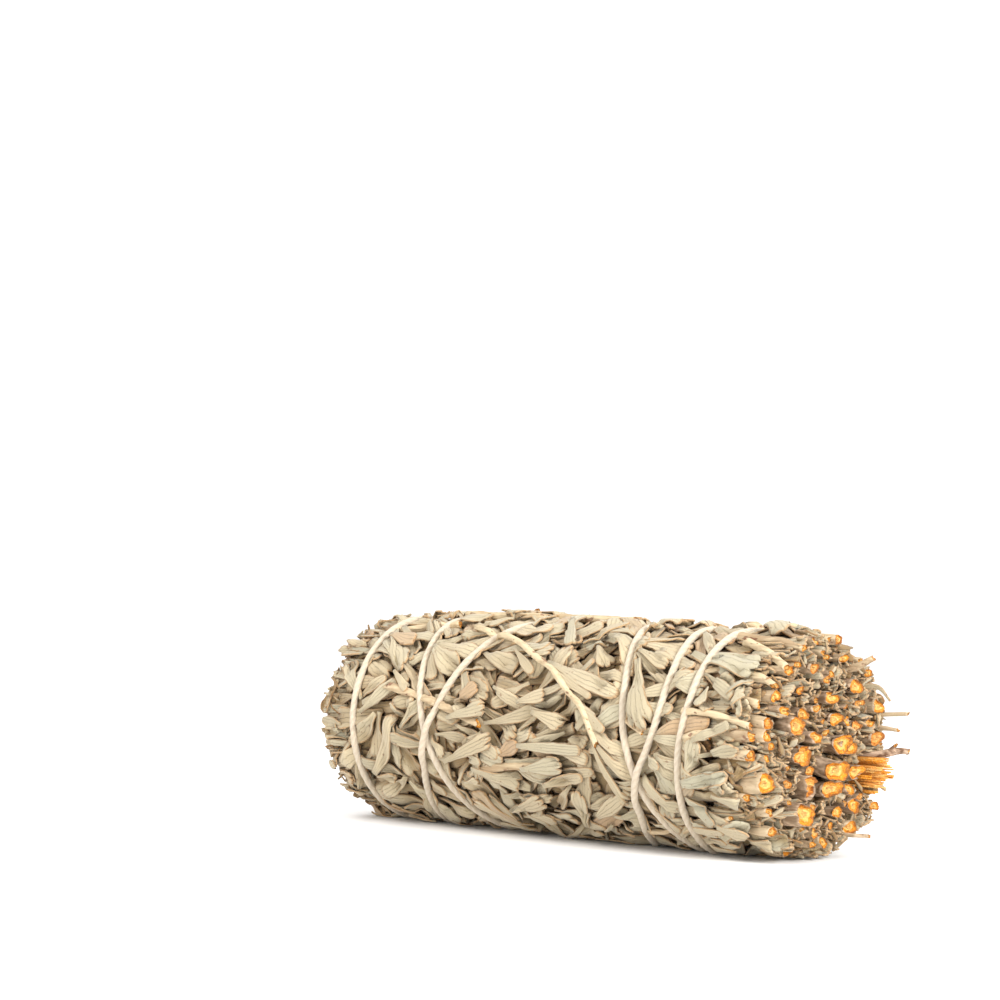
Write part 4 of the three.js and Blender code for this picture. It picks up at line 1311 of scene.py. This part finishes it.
def cell_nodes(distance, angle):
    """The nodes whose cells hold these places in an end."""
    names = []
    for far, turned in zip(distance, angle):
        ring = MIDDLE_NODES if far < MIDDLE_CELL else OUTER_NODES
        names.append("leaves_centre" if far < CENTRE_CELL else nearest_by_angle(ring, turned))
    return np.array(names)


# Loose leaves, and crumbs of leaves, in an end: how many, whether they are crumbs, the share of the end
# that they leave free in the middle, their least and greatest size, how far they stand out, and how far
# they lean astray
LOOSE_KINDS = (
    (70, False, 0.1, (0.5, 0.85), (0.3, 2.6), 0.22),
    (1500, True, 0.0, (0.14, 0.42), (-1.8, 1.3), 0.75),
)
LOOSE_SPREAD = 21
LOOSE_REACH = 22.1  # and no loose leaf is further from the axis
LOOSE_GAP = 0.3
LOOSE_LOWEST = 0.3
CRUMB_SHADE = 1.2  # how deep the painted shade on the darkest crumbs is; each crumb gets a random share of it


def loose_leaves(side, stems, settings):
    """Small leaves that stand out of an end at odd angles, clear of the stems that are cut there."""
    rng = np.random.default_rng(57 + side)
    found = []
    places = np.array([place for place, _ in stems])
    kept_off = np.array([radius for _, radius in stems]) + LOOSE_GAP
    for count, crumbs, free, sizes, outs, astray in LOOSE_KINDS:
        for _ in range(count):
            distance = LOOSE_SPREAD * math.sqrt(rng.uniform(free, 1))
            angle = rng.uniform(0, TURN)
            leaf = random_leaf(rng, 0, 0, 0, rng.uniform(*sizes), settings)
            leaf.grid = CRUMB_GRID if crumbs else leaf.grid
            _, along, across, rise = leaf_form(leaf)
            outward = np.array([0, -math.cos(angle), math.sin(angle)])
            way = np.array([side, 0, 0]) + outward * rng.normal(0.05, 0.3) + rng.normal(0, astray, 3)
            way[0] = side * max(abs(way[0]), 0.2)
            way /= np.linalg.norm(way)
            wide = np.cross(way, rng.normal(0, 1, 3))
            wide /= np.linalg.norm(wide)
            x = face_at(distance, angle, side) + side * rng.uniform(*outs)
            tip = np.append(x, across_place(distance, angle))
            points = tip + (along - leaf.length)[..., None] * way + across[..., None] * wide
            points = points + rise[..., None] * np.cross(way, wide)
            reach = np.hypot(points[..., 1] - AXIS_Y, points[..., 2] - AXIS_Z)
            spots = tip[1:] - np.array([[0], [0.3], [0.6]]) * leaf.length * way[1:]
            clear = (np.linalg.norm(places - spots[:, None], axis=-1) > kept_off).all()
            if clear and reach.max() < LOOSE_REACH and points[..., 2].min() > LOOSE_LOWEST:
                found.append((leaf, points, distance, angle))
    return found


class CutEnd:
    """The cut leaves and the loose ones of one end, each with the node that it belongs to."""

    def __init__(self, side, settings):
        stems = stems_at(side)
        *self.strips, distance, angle = end_strips(side, stems)
        self.strip_nodes = cell_nodes(distance, angle)
        self.loose = loose_leaves(side, stems, settings)
        self.loose_nodes = cell_nodes([row[2] for row in self.loose], [row[3] for row in self.loose])

    def add(self, piece, node, thickness):
        """Adds the leaves of one node to its piece."""
        own = self.strip_nodes == node
        if own.any():
            grids, uv, tone, deep, hue = (values[own] for values in self.strips)
            add_sheets(piece, grids, STRIP_THICKNESS, uv, tone, deep, hue, hue * 0)
        for (leaf, points, _, _), name in zip(self.loose, self.loose_nodes):
            if name == node:
                # Crumbs get painted shade of a random depth; loose leaves get none
                shade = CRUMB_SHADE * leaf.phase / TURN if leaf.grid == CRUMB_GRID else 0.0
                deep = np.full((1, *points.shape[:2]), shade)
                add_sheets(piece, points[None], thickness, leaf.uv[None], leaf.tone, deep, leaf.hue, 0)


# The string

STRING_SIDES = 15
STRING_STEP = 0.5
ROUTE_POINTS = 4000
KNOT_TURNED = 510
KNOT_RISE = 1.1
KNOT_THINNING = 0.85  # how much thinner the tightened knot's string is
TAIL_THINNING = 0.95
# The courses of the string's two loose ends, from the knot: along the bundle and round it
TAILS = (
    ((0, 0), (-2.5, 6), (-6, 10), (-10, 11.5)),
    ((0, 0), (3.5, -4), (7, -6), (11.5, -5)),
)


def add_string(piece, path, lay_length, rng, radius=STRING_RADIUS):
    """A length of three-strand string along a path."""
    along, across, over = frames(path)
    s = run_along(path)
    turns = np.arange(STRING_SIDES) * TURN / STRING_SIDES
    strand = np.abs(np.cos(1.5 * (turns[None, :] - TURN * s[:, None] / lay_length)))
    soft = 1 + 0.03 * np.sin(s * 0.9 + rng.uniform(0, TURN)) + 0.02 * np.sin(s * 2.3)
    reach = radius * (0.93 + 0.08 * strand ** 0.7) * soft[:, None]
    reach = reach * (1 + rng.normal(0, 0.012, reach.shape))
    reach[[0, -1]] *= 0.8
    rings = path[:, None] + reach[..., None] * spokes(turns, across, over)
    # How deep in a groove between the strands each point is, for the material's painted shade
    groove = np.concatenate([[0], (1 - strand).ravel(), [0]])
    first, last = path[0] - 0.1 * along[0], path[-1] + 0.1 * along[-1]
    add_tube(piece, rings, first, last, 0, groove[:, None] * (1, 0, 0))


def knot_path():
    """The knot: a line that winds round itself, flattened against the leaves."""
    t = np.linspace(0.06, TURN - 0.06, 90)
    ring, wind = 1.3, 0.62
    along = (ring + wind * np.cos(3 * t)) * np.cos(2 * t)
    round_ = (ring + wind * np.cos(3 * t)) * np.sin(2 * t)
    x = STRING_ROUTE[0, 1] + along
    angle = math.radians(KNOT_TURNED) + round_ / STRING_LINE
    return on_bundle(x, angle, STRING_LINE + KNOT_RISE + 0.5 * wind * np.sin(3 * t))


def tail_path(points):
    """A loose end of the string, from the knot down onto the leaves."""
    along, round_ = curve(points, 40).T
    down = smooth(np.hypot(along, round_) / 5)
    angle = math.radians(KNOT_TURNED) + round_ / STRING_LINE
    return on_bundle(STRING_ROUTE[0, 1] + along, angle, STRING_LINE + KNOT_RISE - (KNOT_RISE - 0.35) * down)


# Nodes


class Nodes:
    """A material's node tree, written as short calls."""

    def __init__(self, name, roughness, sheen=0.0):
        self.material = bpy.data.materials.new(name)
        self.material.use_nodes = True
        self.tree = self.material.node_tree
        self.shader = self.tree.nodes["Principled BSDF"]
        self.shader.inputs["Roughness"].default_value = roughness
        self.shader.inputs["Sheen Weight"].default_value = sheen

    def new(self, kind, **values):
        node = self.tree.nodes.new(kind)
        for name, value in values.items():
            setattr(node, name, value)
        return node

    def put(self, socket, value):
        """Links a socket to another, or sets it."""
        if isinstance(value, bpy.types.NodeSocket):
            self.tree.links.new(value, socket)
        elif socket.type == "RGBA":
            socket.default_value = (*value[:3], 1.0)
        else:
            socket.default_value = value

    def math(self, operation, *values):
        node = self.new("ShaderNodeMath", operation=operation)
        for socket, value in zip(node.inputs, values):
            self.put(socket, value)
        return node.outputs[0]

    def band(self, value, low, high):
        """0 at low and 1 at high, with a smooth step between them."""
        node = self.new("ShaderNodeMapRange", interpolation_type="SMOOTHSTEP")
        self.put(node.inputs["Value"], value)
        node.inputs["From Min"].default_value = min(low, high)
        node.inputs["From Max"].default_value = max(low, high)
        node.inputs["To Min"].default_value = float(low > high)
        node.inputs["To Max"].default_value = float(low < high)
        return node.outputs["Result"]

    def mix(self, share, first, second, blend="MIX"):
        node = self.new("ShaderNodeMix", data_type="RGBA", blend_type=blend)
        inputs = {socket.identifier: socket for socket in node.inputs}
        for name, value in (("Factor_Float", share), ("A_Color", first), ("B_Color", second)):
            self.put(inputs[name], value)
        return next(socket for socket in node.outputs if socket.identifier == "Result_Color")

    def tint(self, base, share, weight, colour):
        """The base with some of a colour mixed in: weight of it where the share is 1."""
        return self.mix(self.math("MULTIPLY", share, weight), base, colour)

    def noise(self, scale, detail=3.0, stretch=(1, 1, 1)):
        """Noise whose size is scale per metre, drawn out by stretch."""
        source = self.new("ShaderNodeTexCoord").outputs["Object"]
        mapping = self.new("ShaderNodeMapping")
        mapping.inputs["Scale"].default_value = stretch
        self.put(mapping.inputs["Vector"], source)
        node = self.new("ShaderNodeTexNoise")
        node.inputs["Scale"].default_value = scale
        node.inputs["Detail"].default_value = detail
        self.put(node.inputs["Vector"], mapping.outputs["Vector"])
        return node.outputs["Fac"]

    def read(self, name):
        """The three numbers of one of the piece's own attributes."""
        source = self.new("ShaderNodeAttribute", attribute_name=name)
        parts = self.new("ShaderNodeSeparateXYZ")
        self.put(parts.inputs[0], source.outputs["Vector"])
        return parts.outputs

    def bump(self, height, distance):
        node = self.new("ShaderNodeBump")
        node.inputs["Distance"].default_value = distance
        self.put(node.inputs["Height"], height)
        self.put(self.shader.inputs["Normal"], node.outputs["Normal"])

    def colour(self, value):
        self.put(self.shader.inputs["Base Color"], value)


def linear(red, green, blue):
    """A screen colour, 0 to 255, as linear light."""
    share = np.array([red, green, blue]) / 255
    light = np.where(share <= 0.04045, share / 12.92, ((share + 0.055) / 1.055) ** 2.4)
    return tuple(float(v) for v in light)


DRY_LEAF = linear(176, 136, 96)
LEAF_ROOT = linear(196, 178, 138)
FELT_DARK = linear(100, 88, 62)
FELT_PALE = linear(222, 210, 180)
LEAF_VEIN = linear(164, 144, 90)
LEAF_RIM = linear(182, 138, 88)
LEAF_SPECK = linear(118, 72, 42)
# Painted shade for leaves that lie deep, and for the deepest
PAINTED_LEAF_SHADE = linear(206, 184, 150)
PAINTED_DEEP_SHADE = linear(108, 84, 58)
BARK_PATCH = linear(150, 118, 84)
BARK_FLECK = linear(112, 58, 36)
SHADE_AND_DARK_BARK_LOW = linear(112, 84, 62)
SHADE_AND_DARK_BARK_HIGH = linear(200, 172, 146)
WOOD_BROWN = linear(206, 136, 74)
WOOD_FIBRE = linear(255, 226, 160)
WOOD_RIM = linear(136, 78, 30)
PITH = linear(120, 66, 22)
STRING_GROOVE_SHADE = linear(176, 150, 118)
WHITE = (1, 1, 1)


def leaf_material(settings):
    """Dried sage leaf: grey-green felt with fine veins, a brown rim and a few brown specks; painted shade
    darkens the leaves that lie deep in the bundle, behind the cuts and in the cores.
    """
    n = Nodes("sage leaf", 0.85, sheen=0.2)
    u, v, tone = n.read("place")
    # deep is how much painted shade a point gets
    deep, hue, dry = n.read("state")
    mottle = n.noise(420, 4)
    grain = n.noise(5200, 2)
    shade = n.math("ADD", n.math("MULTIPLY", tone, 0.65), n.math("MULTIPLY", mottle, 0.35))
    base = n.mix(shade, settings.dark, settings.light)
    base = n.tint(base, hue, 0.75, settings.blue)
    base = n.tint(base, dry, 0.8, DRY_LEAF)
    base = n.tint(base, n.band(u, 0.35, 0.0), 0.4, LEAF_ROOT)
    base = n.mix(0.2, base, n.mix(grain, FELT_DARK, FELT_PALE))
    wobble = n.math("MULTIPLY", n.math("SUBTRACT", n.noise(700, 2), 0.5), 0.5)
    lines = n.math("ABSOLUTE", n.math("SINE", n.math("MULTIPLY", n.math("ADD", v, wobble), 6.6)))
    vein = n.band(lines, 0.24, 0.02)
    base = n.tint(base, vein, 0.38, LEAF_VEIN)
    margin = n.math("ADD", n.math("ABSOLUTE", v), n.math("MULTIPLY", wobble, 0.25))
    rim = n.math("MAXIMUM", n.band(margin, 0.88, 0.96), n.band(u, 0.96, 0.99))
    base = n.tint(base, rim, 0.62, LEAF_RIM)
    base = n.tint(base, n.band(n.noise(1100, 2), 0.67, 0.73), 0.6, LEAF_SPECK)
    # Painted shade: leaves that lie deep are darkened, and the deepest most of all
    low = n.mix(n.band(deep, 0.25, 0.85), WHITE, PAINTED_LEAF_SHADE)
    low = n.mix(n.band(deep, 0.9, 2.0), low, PAINTED_DEEP_SHADE)
    n.colour(n.mix(1.0, base, low, "MULTIPLY"))
    relief = n.math("ADD", n.math("MULTIPLY", vein, -0.5), n.math("MULTIPLY", grain, 0.5))
    n.bump(n.math("ADD", relief, n.math("MULTIPLY", mottle, 0.8)), 0.00028)
    return n.material


def bark_material(settings):
    """Pale dry bark, in fine lengthwise ridges, with dark flecks; painted shade, in streaks, darkens it
    inside the ends, and the same mix gives some twigs darker bark.
    """
    n = Nodes("sage bark", 0.88)
    _, shade_and_dark_bark, tone = n.read("state")
    fibre = n.noise(1300, 4, stretch=(0.12, 1, 1))
    ridges = n.band(n.math("ADD", fibre, n.math("MULTIPLY", tone, 0.3)), 0.3, 0.9)
    base = n.mix(ridges, settings.bark_dark, settings.bark)
    base = n.tint(base, n.band(n.noise(260, 3), 0.5, 0.75), 0.35, BARK_PATCH)
    fleck = n.band(n.noise(620, 2, stretch=(0.6, 1, 1)), 0.63, 0.69)
    base = n.tint(base, fleck, 0.7, BARK_FLECK)
    # Painted shade inside the ends, in streaks; on some proud twigs the same mix is their darker bark
    streaks = n.band(n.noise(1000, 4, stretch=(0.35, 1, 1)), 0.38, 0.68)
    n.colour(n.tint(base, shade_and_dark_bark, 0.8, n.mix(streaks, SHADE_AND_DARK_BARK_LOW, SHADE_AND_DARK_BARK_HIGH)))
    n.bump(n.math("ADD", fibre, n.math("MULTIPLY", fleck, -0.3)), 0.0005)
    return n.material


def wood_material(settings):
    """Cut wood: a pale heart in orange rings, with a brown rim and a dark pith."""
    n = Nodes("cut sage wood", 0.7)
    ring, _, tone = n.read("state")
    wander = n.noise(1300, 4)
    fine = n.noise(4200, 3)
    out = n.math("ADD", ring, n.math("MULTIPLY", n.math("SUBTRACT", wander, 0.5), 0.7))
    base = n.mix(n.band(out, 0.2, 0.7), settings.wood_pale, settings.wood)
    base = n.tint(base, n.band(tone, 0.5, 1.0), 0.45, WOOD_BROWN)
    rings = n.math("SINE", n.math("ADD", n.math("MULTIPLY", ring, 19), n.math("MULTIPLY", wander, 5)))
    base = n.tint(base, n.band(rings, 0.2, 1.0), 0.5, settings.wood_dark)
    base = n.tint(base, n.band(fine, 0.52, 0.7), 0.3, WOOD_FIBRE)
    base = n.tint(base, n.band(out, 0.8, 1.0), 0.75, WOOD_RIM)
    n.colour(n.tint(base, n.band(ring, 0.16, 0.05), 0.6, PITH))
    n.bump(n.math("ADD", n.math("MULTIPLY", rings, 0.25), fine), 0.00035)
    return n.material


def string_material(settings):
    """Undyed cotton: fine fibres, with painted shade in the grooves between its strands."""
    n = Nodes("cotton string", 0.9, sheen=0.2)
    groove, _, _ = n.read("state")
    fibre = n.noise(3000, 3)
    # Painted shade in the grooves between the strands
    n.colour(n.tint(n.mix(fibre, settings.dark, settings.colour), groove, 0.4, STRING_GROOVE_SHADE))
    n.bump(fibre, 0.00025)
    return n.material


# Settings


def length(name, description, default):
    return FloatProperty(name=name, description=description, default=default, unit="LENGTH", min=0)


def colour(name, description, screen):
    return FloatVectorProperty(
        name=name, description=description, subtype="COLOR", size=3, min=0, max=1, default=linear(*screen),
    )


def power(name, description, watts):
    return FloatProperty(name=name, description=description, default=watts, unit="POWER", min=0)


class SageLeafSettings(bpy.types.PropertyGroup):
    length: length("Length", "Length of a middling leaf", 0.0108)
    width: length("Width", "Greatest width of a middling leaf", 0.0031)
    thickness: length("Thickness", "Thickness of a leaf", 0.00037)
    tufts: IntProperty(name="Tufts", description="Tufts in the layers that show", default=800, min=1)
    light: colour("Light", "The palest leaves", (205, 187, 153))
    dark: colour("Dark", "The darkest leaves", (172, 153, 119))
    blue: colour("Blue", "The bluer leaves near the cut end", (168, 167, 146))


class SageStemSettings(bpy.types.PropertyGroup):
    bark: colour("Bark", "Pale bark", (212, 192, 156))
    bark_dark: colour("Dark bark", "Bark in its furrows", (164, 138, 106))
    wood: colour("Wood", "Cut wood between its rings", (238, 152, 28))
    wood_dark: colour("Dark wood", "Cut wood in its rings", (178, 100, 26))
    wood_pale: colour("Pale wood", "Cut wood where it is pale", (250, 206, 124))


class SageStringSettings(bpy.types.PropertyGroup):
    lay: length("Lay", "Length of one turn of the string's twist", 0.0052)
    colour: colour("Colour", "The cotton's colour", (218, 206, 187))
    dark: colour("Dark", "The cotton's colour between its fibres", (196, 180, 155))


class SageStageSettings(bpy.types.PropertyGroup):
    key_power: power("Key light", "Power of the large light", 3.2)
    fill_power: power("Fill light", "Power of the light at the cut end", 6.0)
    world: FloatProperty(name="Surroundings", description="Light from all round", default=1.2, min=0)


class SageSettings(bpy.types.PropertyGroup):
    leaves: PointerProperty(type=SageLeafSettings)
    stems: PointerProperty(type=SageStemSettings)
    string: PointerProperty(type=SageStringSettings)
    stage: PointerProperty(type=SageStageSettings)


class SAGE_OT_leaves(bpy.types.Operator):
    """Lay the bundled sprigs' leaves round the side and fill the cut ends with theirs"""
    bl_idname = "sage.leaves"
    bl_label = "Leaves"

    def execute(self, context):
        settings = context.scene.sage.leaves
        thickness = settings.thickness / MM
        material = leaf_material(settings)
        bundle.fill(settings)
        bundle.stalks = bundle_stalks()
        ends = [CutEnd(side, settings) for side in (1, -1)]
        for node in LEAF_NODES:
            piece = Piece(node.replace("leaves", "foliage"))
            add_core(piece, node)
            add_proud_leaf(piece, node, thickness)
            bundle.add_leaves(piece, node, thickness)
            for end in ends:
                end.add(piece, node, thickness)
            piece.make({LEAF: material}, [node])
        return {"FINISHED"}


def bark_shade(stalk):
    """How much painted shade a stem's bark gets: full inside the near cut, less where the stem ends at its
    rim.
    """
    near_end = max(stalk.path[0], stalk.path[-1], key=lambda place: place[0])
    out = math.hypot(near_end[1] - AXIS_Y, near_end[2] - AXIS_Z)
    return 1 - RIM_LESS_SHADE * smooth((out - SHADE_FADES_FROM) / SHADE_FADES_OVER)


class SAGE_OT_stems(bpy.types.Operator):
    """Make the stems, with their bark and cut wood, and the twigs on the side"""
    bl_idname = "sage.stems"
    bl_label = "Stems"

    def execute(self, context):
        settings = context.scene.sage.stems
        rng = np.random.default_rng(8)
        bark, wood = bark_material(settings), wood_material(settings)
        for node in STEM_NODES:
            piece = Piece(node.replace("stem", "stalk"))
            for stalk in bundle.stalks:
                if stalk.node == node:
                    add_stalk(piece, stalk.path, stalk.radii, rng, bark_shade(stalk), FRONT_SLOPE)
            bundle.add_twigs(piece, node, rng)
            add_proud_twigs(piece, node, rng)
            piece.make({BARK: bark, WOOD: wood}, [node])
        leaf = bpy.data.materials["sage leaf"]
        for node in LAID_NODES:
            piece = Piece("laid_" + node.replace("_laid", ""))
            bundle.add_twigs(piece, node, rng)
            bundle.add_leaves(piece, node, context.scene.sage.leaves.thickness / MM)
            piece.make({LEAF: leaf, BARK: bark, WOOD: wood}, [node])
        return {"FINISHED"}


class SAGE_OT_string(bpy.types.Operator):
    """Wind the string round the bundle, and tie it"""
    bl_idname = "sage.string"
    bl_label = "String"

    def execute(self, context):
        settings = context.scene.sage.string
        rng = np.random.default_rng(3)
        lay_length = settings.lay / MM
        piece = Piece("cotton_wrap")
        turned = np.linspace(STRING_ROUTE[0, 0], STRING_ROUTE[-1, 0], ROUTE_POINTS)
        x, angle = string_along(turned), np.radians(turned)
        whole = on_bundle(x, angle, string_radius(turned))
        s = run_along(whole)
        even = np.linspace(0, s[-1], int(s[-1] / STRING_STEP))
        path = np.stack([np.interp(even, s, whole[:, axis]) for axis in range(3)], axis=-1)
        add_string(piece, path, lay_length, rng)
        add_string(piece, knot_path(), lay_length, rng, STRING_RADIUS * KNOT_THINNING)
        for points in TAILS:
            add_string(piece, tail_path(points), lay_length, rng, STRING_RADIUS * TAIL_THINNING)
        piece.make({0: string_material(settings)}, ["string"])
        return {"FINISHED"}


def stage_light(name, place, target, size, tint, watts):
    """A large soft light that faces the target."""
    data = bpy.data.lights.new(name, "AREA")
    data.shape = "DISK"
    data.size = size
    data.energy = watts
    data.color = tint
    light = bpy.data.objects.new(name, data)
    light.location = place
    light.rotation_euler = (Vector(target) - Vector(place)).to_track_quat("-Z", "Y").to_euler()
    bpy.context.scene.collection.objects.link(light)


# The lights, in metres: name, place, what it faces, diameter and tint
LIGHTS = (
    ("key", (-0.05, -0.6, 0.75), (0.02, 0, 0.02), 0.45, (1, 0.98, 0.95)),
    ("fill", (0.7, -0.1, 0.35), (0.04, 0, 0.02), 0.3, (1, 1, 1)),
)
FLOOR_REACH = 3.0
FLOOR_GREY = (0.95, 0.95, 0.95)

# The camera, from the photograph's perspective: where it is, seen from the near cut's middle
CAMERA_OFFSET = (292.2, -396.6, 36.2)
CAMERA_FACE = 58.0
CAMERA_HEADING = math.radians(43.63)
CAMERA_PITCH = math.radians(1.09)
CAMERA_ROLL = math.radians(0.73)
CAMERA_LENS = 93.4
SENSOR = 36.0


def photo_camera():
    """The camera that sees the bundle as the photograph does."""
    right = Vector((math.cos(CAMERA_HEADING), math.sin(CAMERA_HEADING), 0))
    ahead = Vector((-math.sin(CAMERA_HEADING), math.cos(CAMERA_HEADING), 0)) * math.cos(CAMERA_PITCH)
    ahead.z = math.sin(CAMERA_PITCH)
    above = right.cross(ahead)
    level_right = right.copy()
    right = level_right * math.cos(CAMERA_ROLL) + above * math.sin(CAMERA_ROLL)
    above = above * math.cos(CAMERA_ROLL) - level_right * math.sin(CAMERA_ROLL)
    data = bpy.data.cameras.new("camera")
    data.lens = CAMERA_LENS
    data.sensor_width = SENSOR
    camera = bpy.data.objects.new("camera", data)
    turn = Matrix((right, above, -ahead)).transposed().to_4x4()
    place = Vector((CAMERA_FACE, AXIS_Y, AXIS_Z)) + Vector(CAMERA_OFFSET)
    camera.matrix_world = Matrix.Translation(place * MM) @ turn
    bpy.context.scene.collection.objects.link(camera)
    bpy.context.scene.camera = camera


class SAGE_OT_stage(bpy.types.Operator):
    """Set the pale floor, the soft light and the camera"""
    bl_idname = "sage.stage"
    bl_label = "Stage"

    def execute(self, context):
        settings = context.scene.sage.stage
        mesh = bpy.data.meshes.new("floor")
        corners = [(a * FLOOR_REACH, b * FLOOR_REACH, 0) for a, b in ((-1, -1), (1, -1), (1, 1), (-1, 1))]
        mesh.from_pydata(corners, [], [(0, 1, 2, 3)])
        n = Nodes("pale floor", 0.9)
        n.colour(FLOOR_GREY)
        mesh.materials.append(n.material)
        floor = bpy.data.objects.new("floor", mesh)
        context.scene.collection.objects.link(floor)
        world = bpy.data.worlds.new("surroundings")
        world.use_nodes = True
        background = world.node_tree.nodes["Background"]
        background.inputs["Color"].default_value = (*WHITE, 1)
        background.inputs["Strength"].default_value = settings.world
        context.scene.world = world
        for light, watts in zip(LIGHTS, (settings.key_power, settings.fill_power)):
            stage_light(*light, watts)
        photo_camera()
        context.scene.view_settings.view_transform = "Standard"
        return {"FINISHED"}


class SAGE_PT_panel(bpy.types.Panel):
    """The bundle's sizes and colours"""
    bl_label = "Sage bundle"
    bl_idname = "SAGE_PT_panel"
    bl_space_type = "VIEW_3D"
    bl_region_type = "UI"
    bl_category = "Sage bundle"

    def draw(self, context):
        sage = context.scene.sage
        for title in ("leaves", "stems", "string", "stage"):
            box = self.layout.box()
            box.label(text=title.capitalize())
            group = getattr(sage, title)
            for name in group.bl_rna.properties.keys():
                if name not in ("rna_type", "name"):
                    box.prop(group, name)
            box.operator("sage." + title)


CLASSES = (
    SageLeafSettings, SageStemSettings, SageStringSettings, SageStageSettings, SageSettings,
    SAGE_OT_leaves, SAGE_OT_stems, SAGE_OT_string, SAGE_OT_stage, SAGE_PT_panel,
)


def register():
    for item in CLASSES:
        bpy.utils.register_class(item)
    bpy.types.Scene.sage = PointerProperty(type=SageSettings)


def unregister():
    del bpy.types.Scene.sage
    for item in reversed(CLASSES):
        bpy.utils.unregister_class(item)


def main():
    register()
    bpy.ops.sage.leaves()
    bpy.ops.sage.stems()
    bpy.ops.sage.string()
    bpy.ops.sage.stage()


if __name__ == "__main__":
    main()
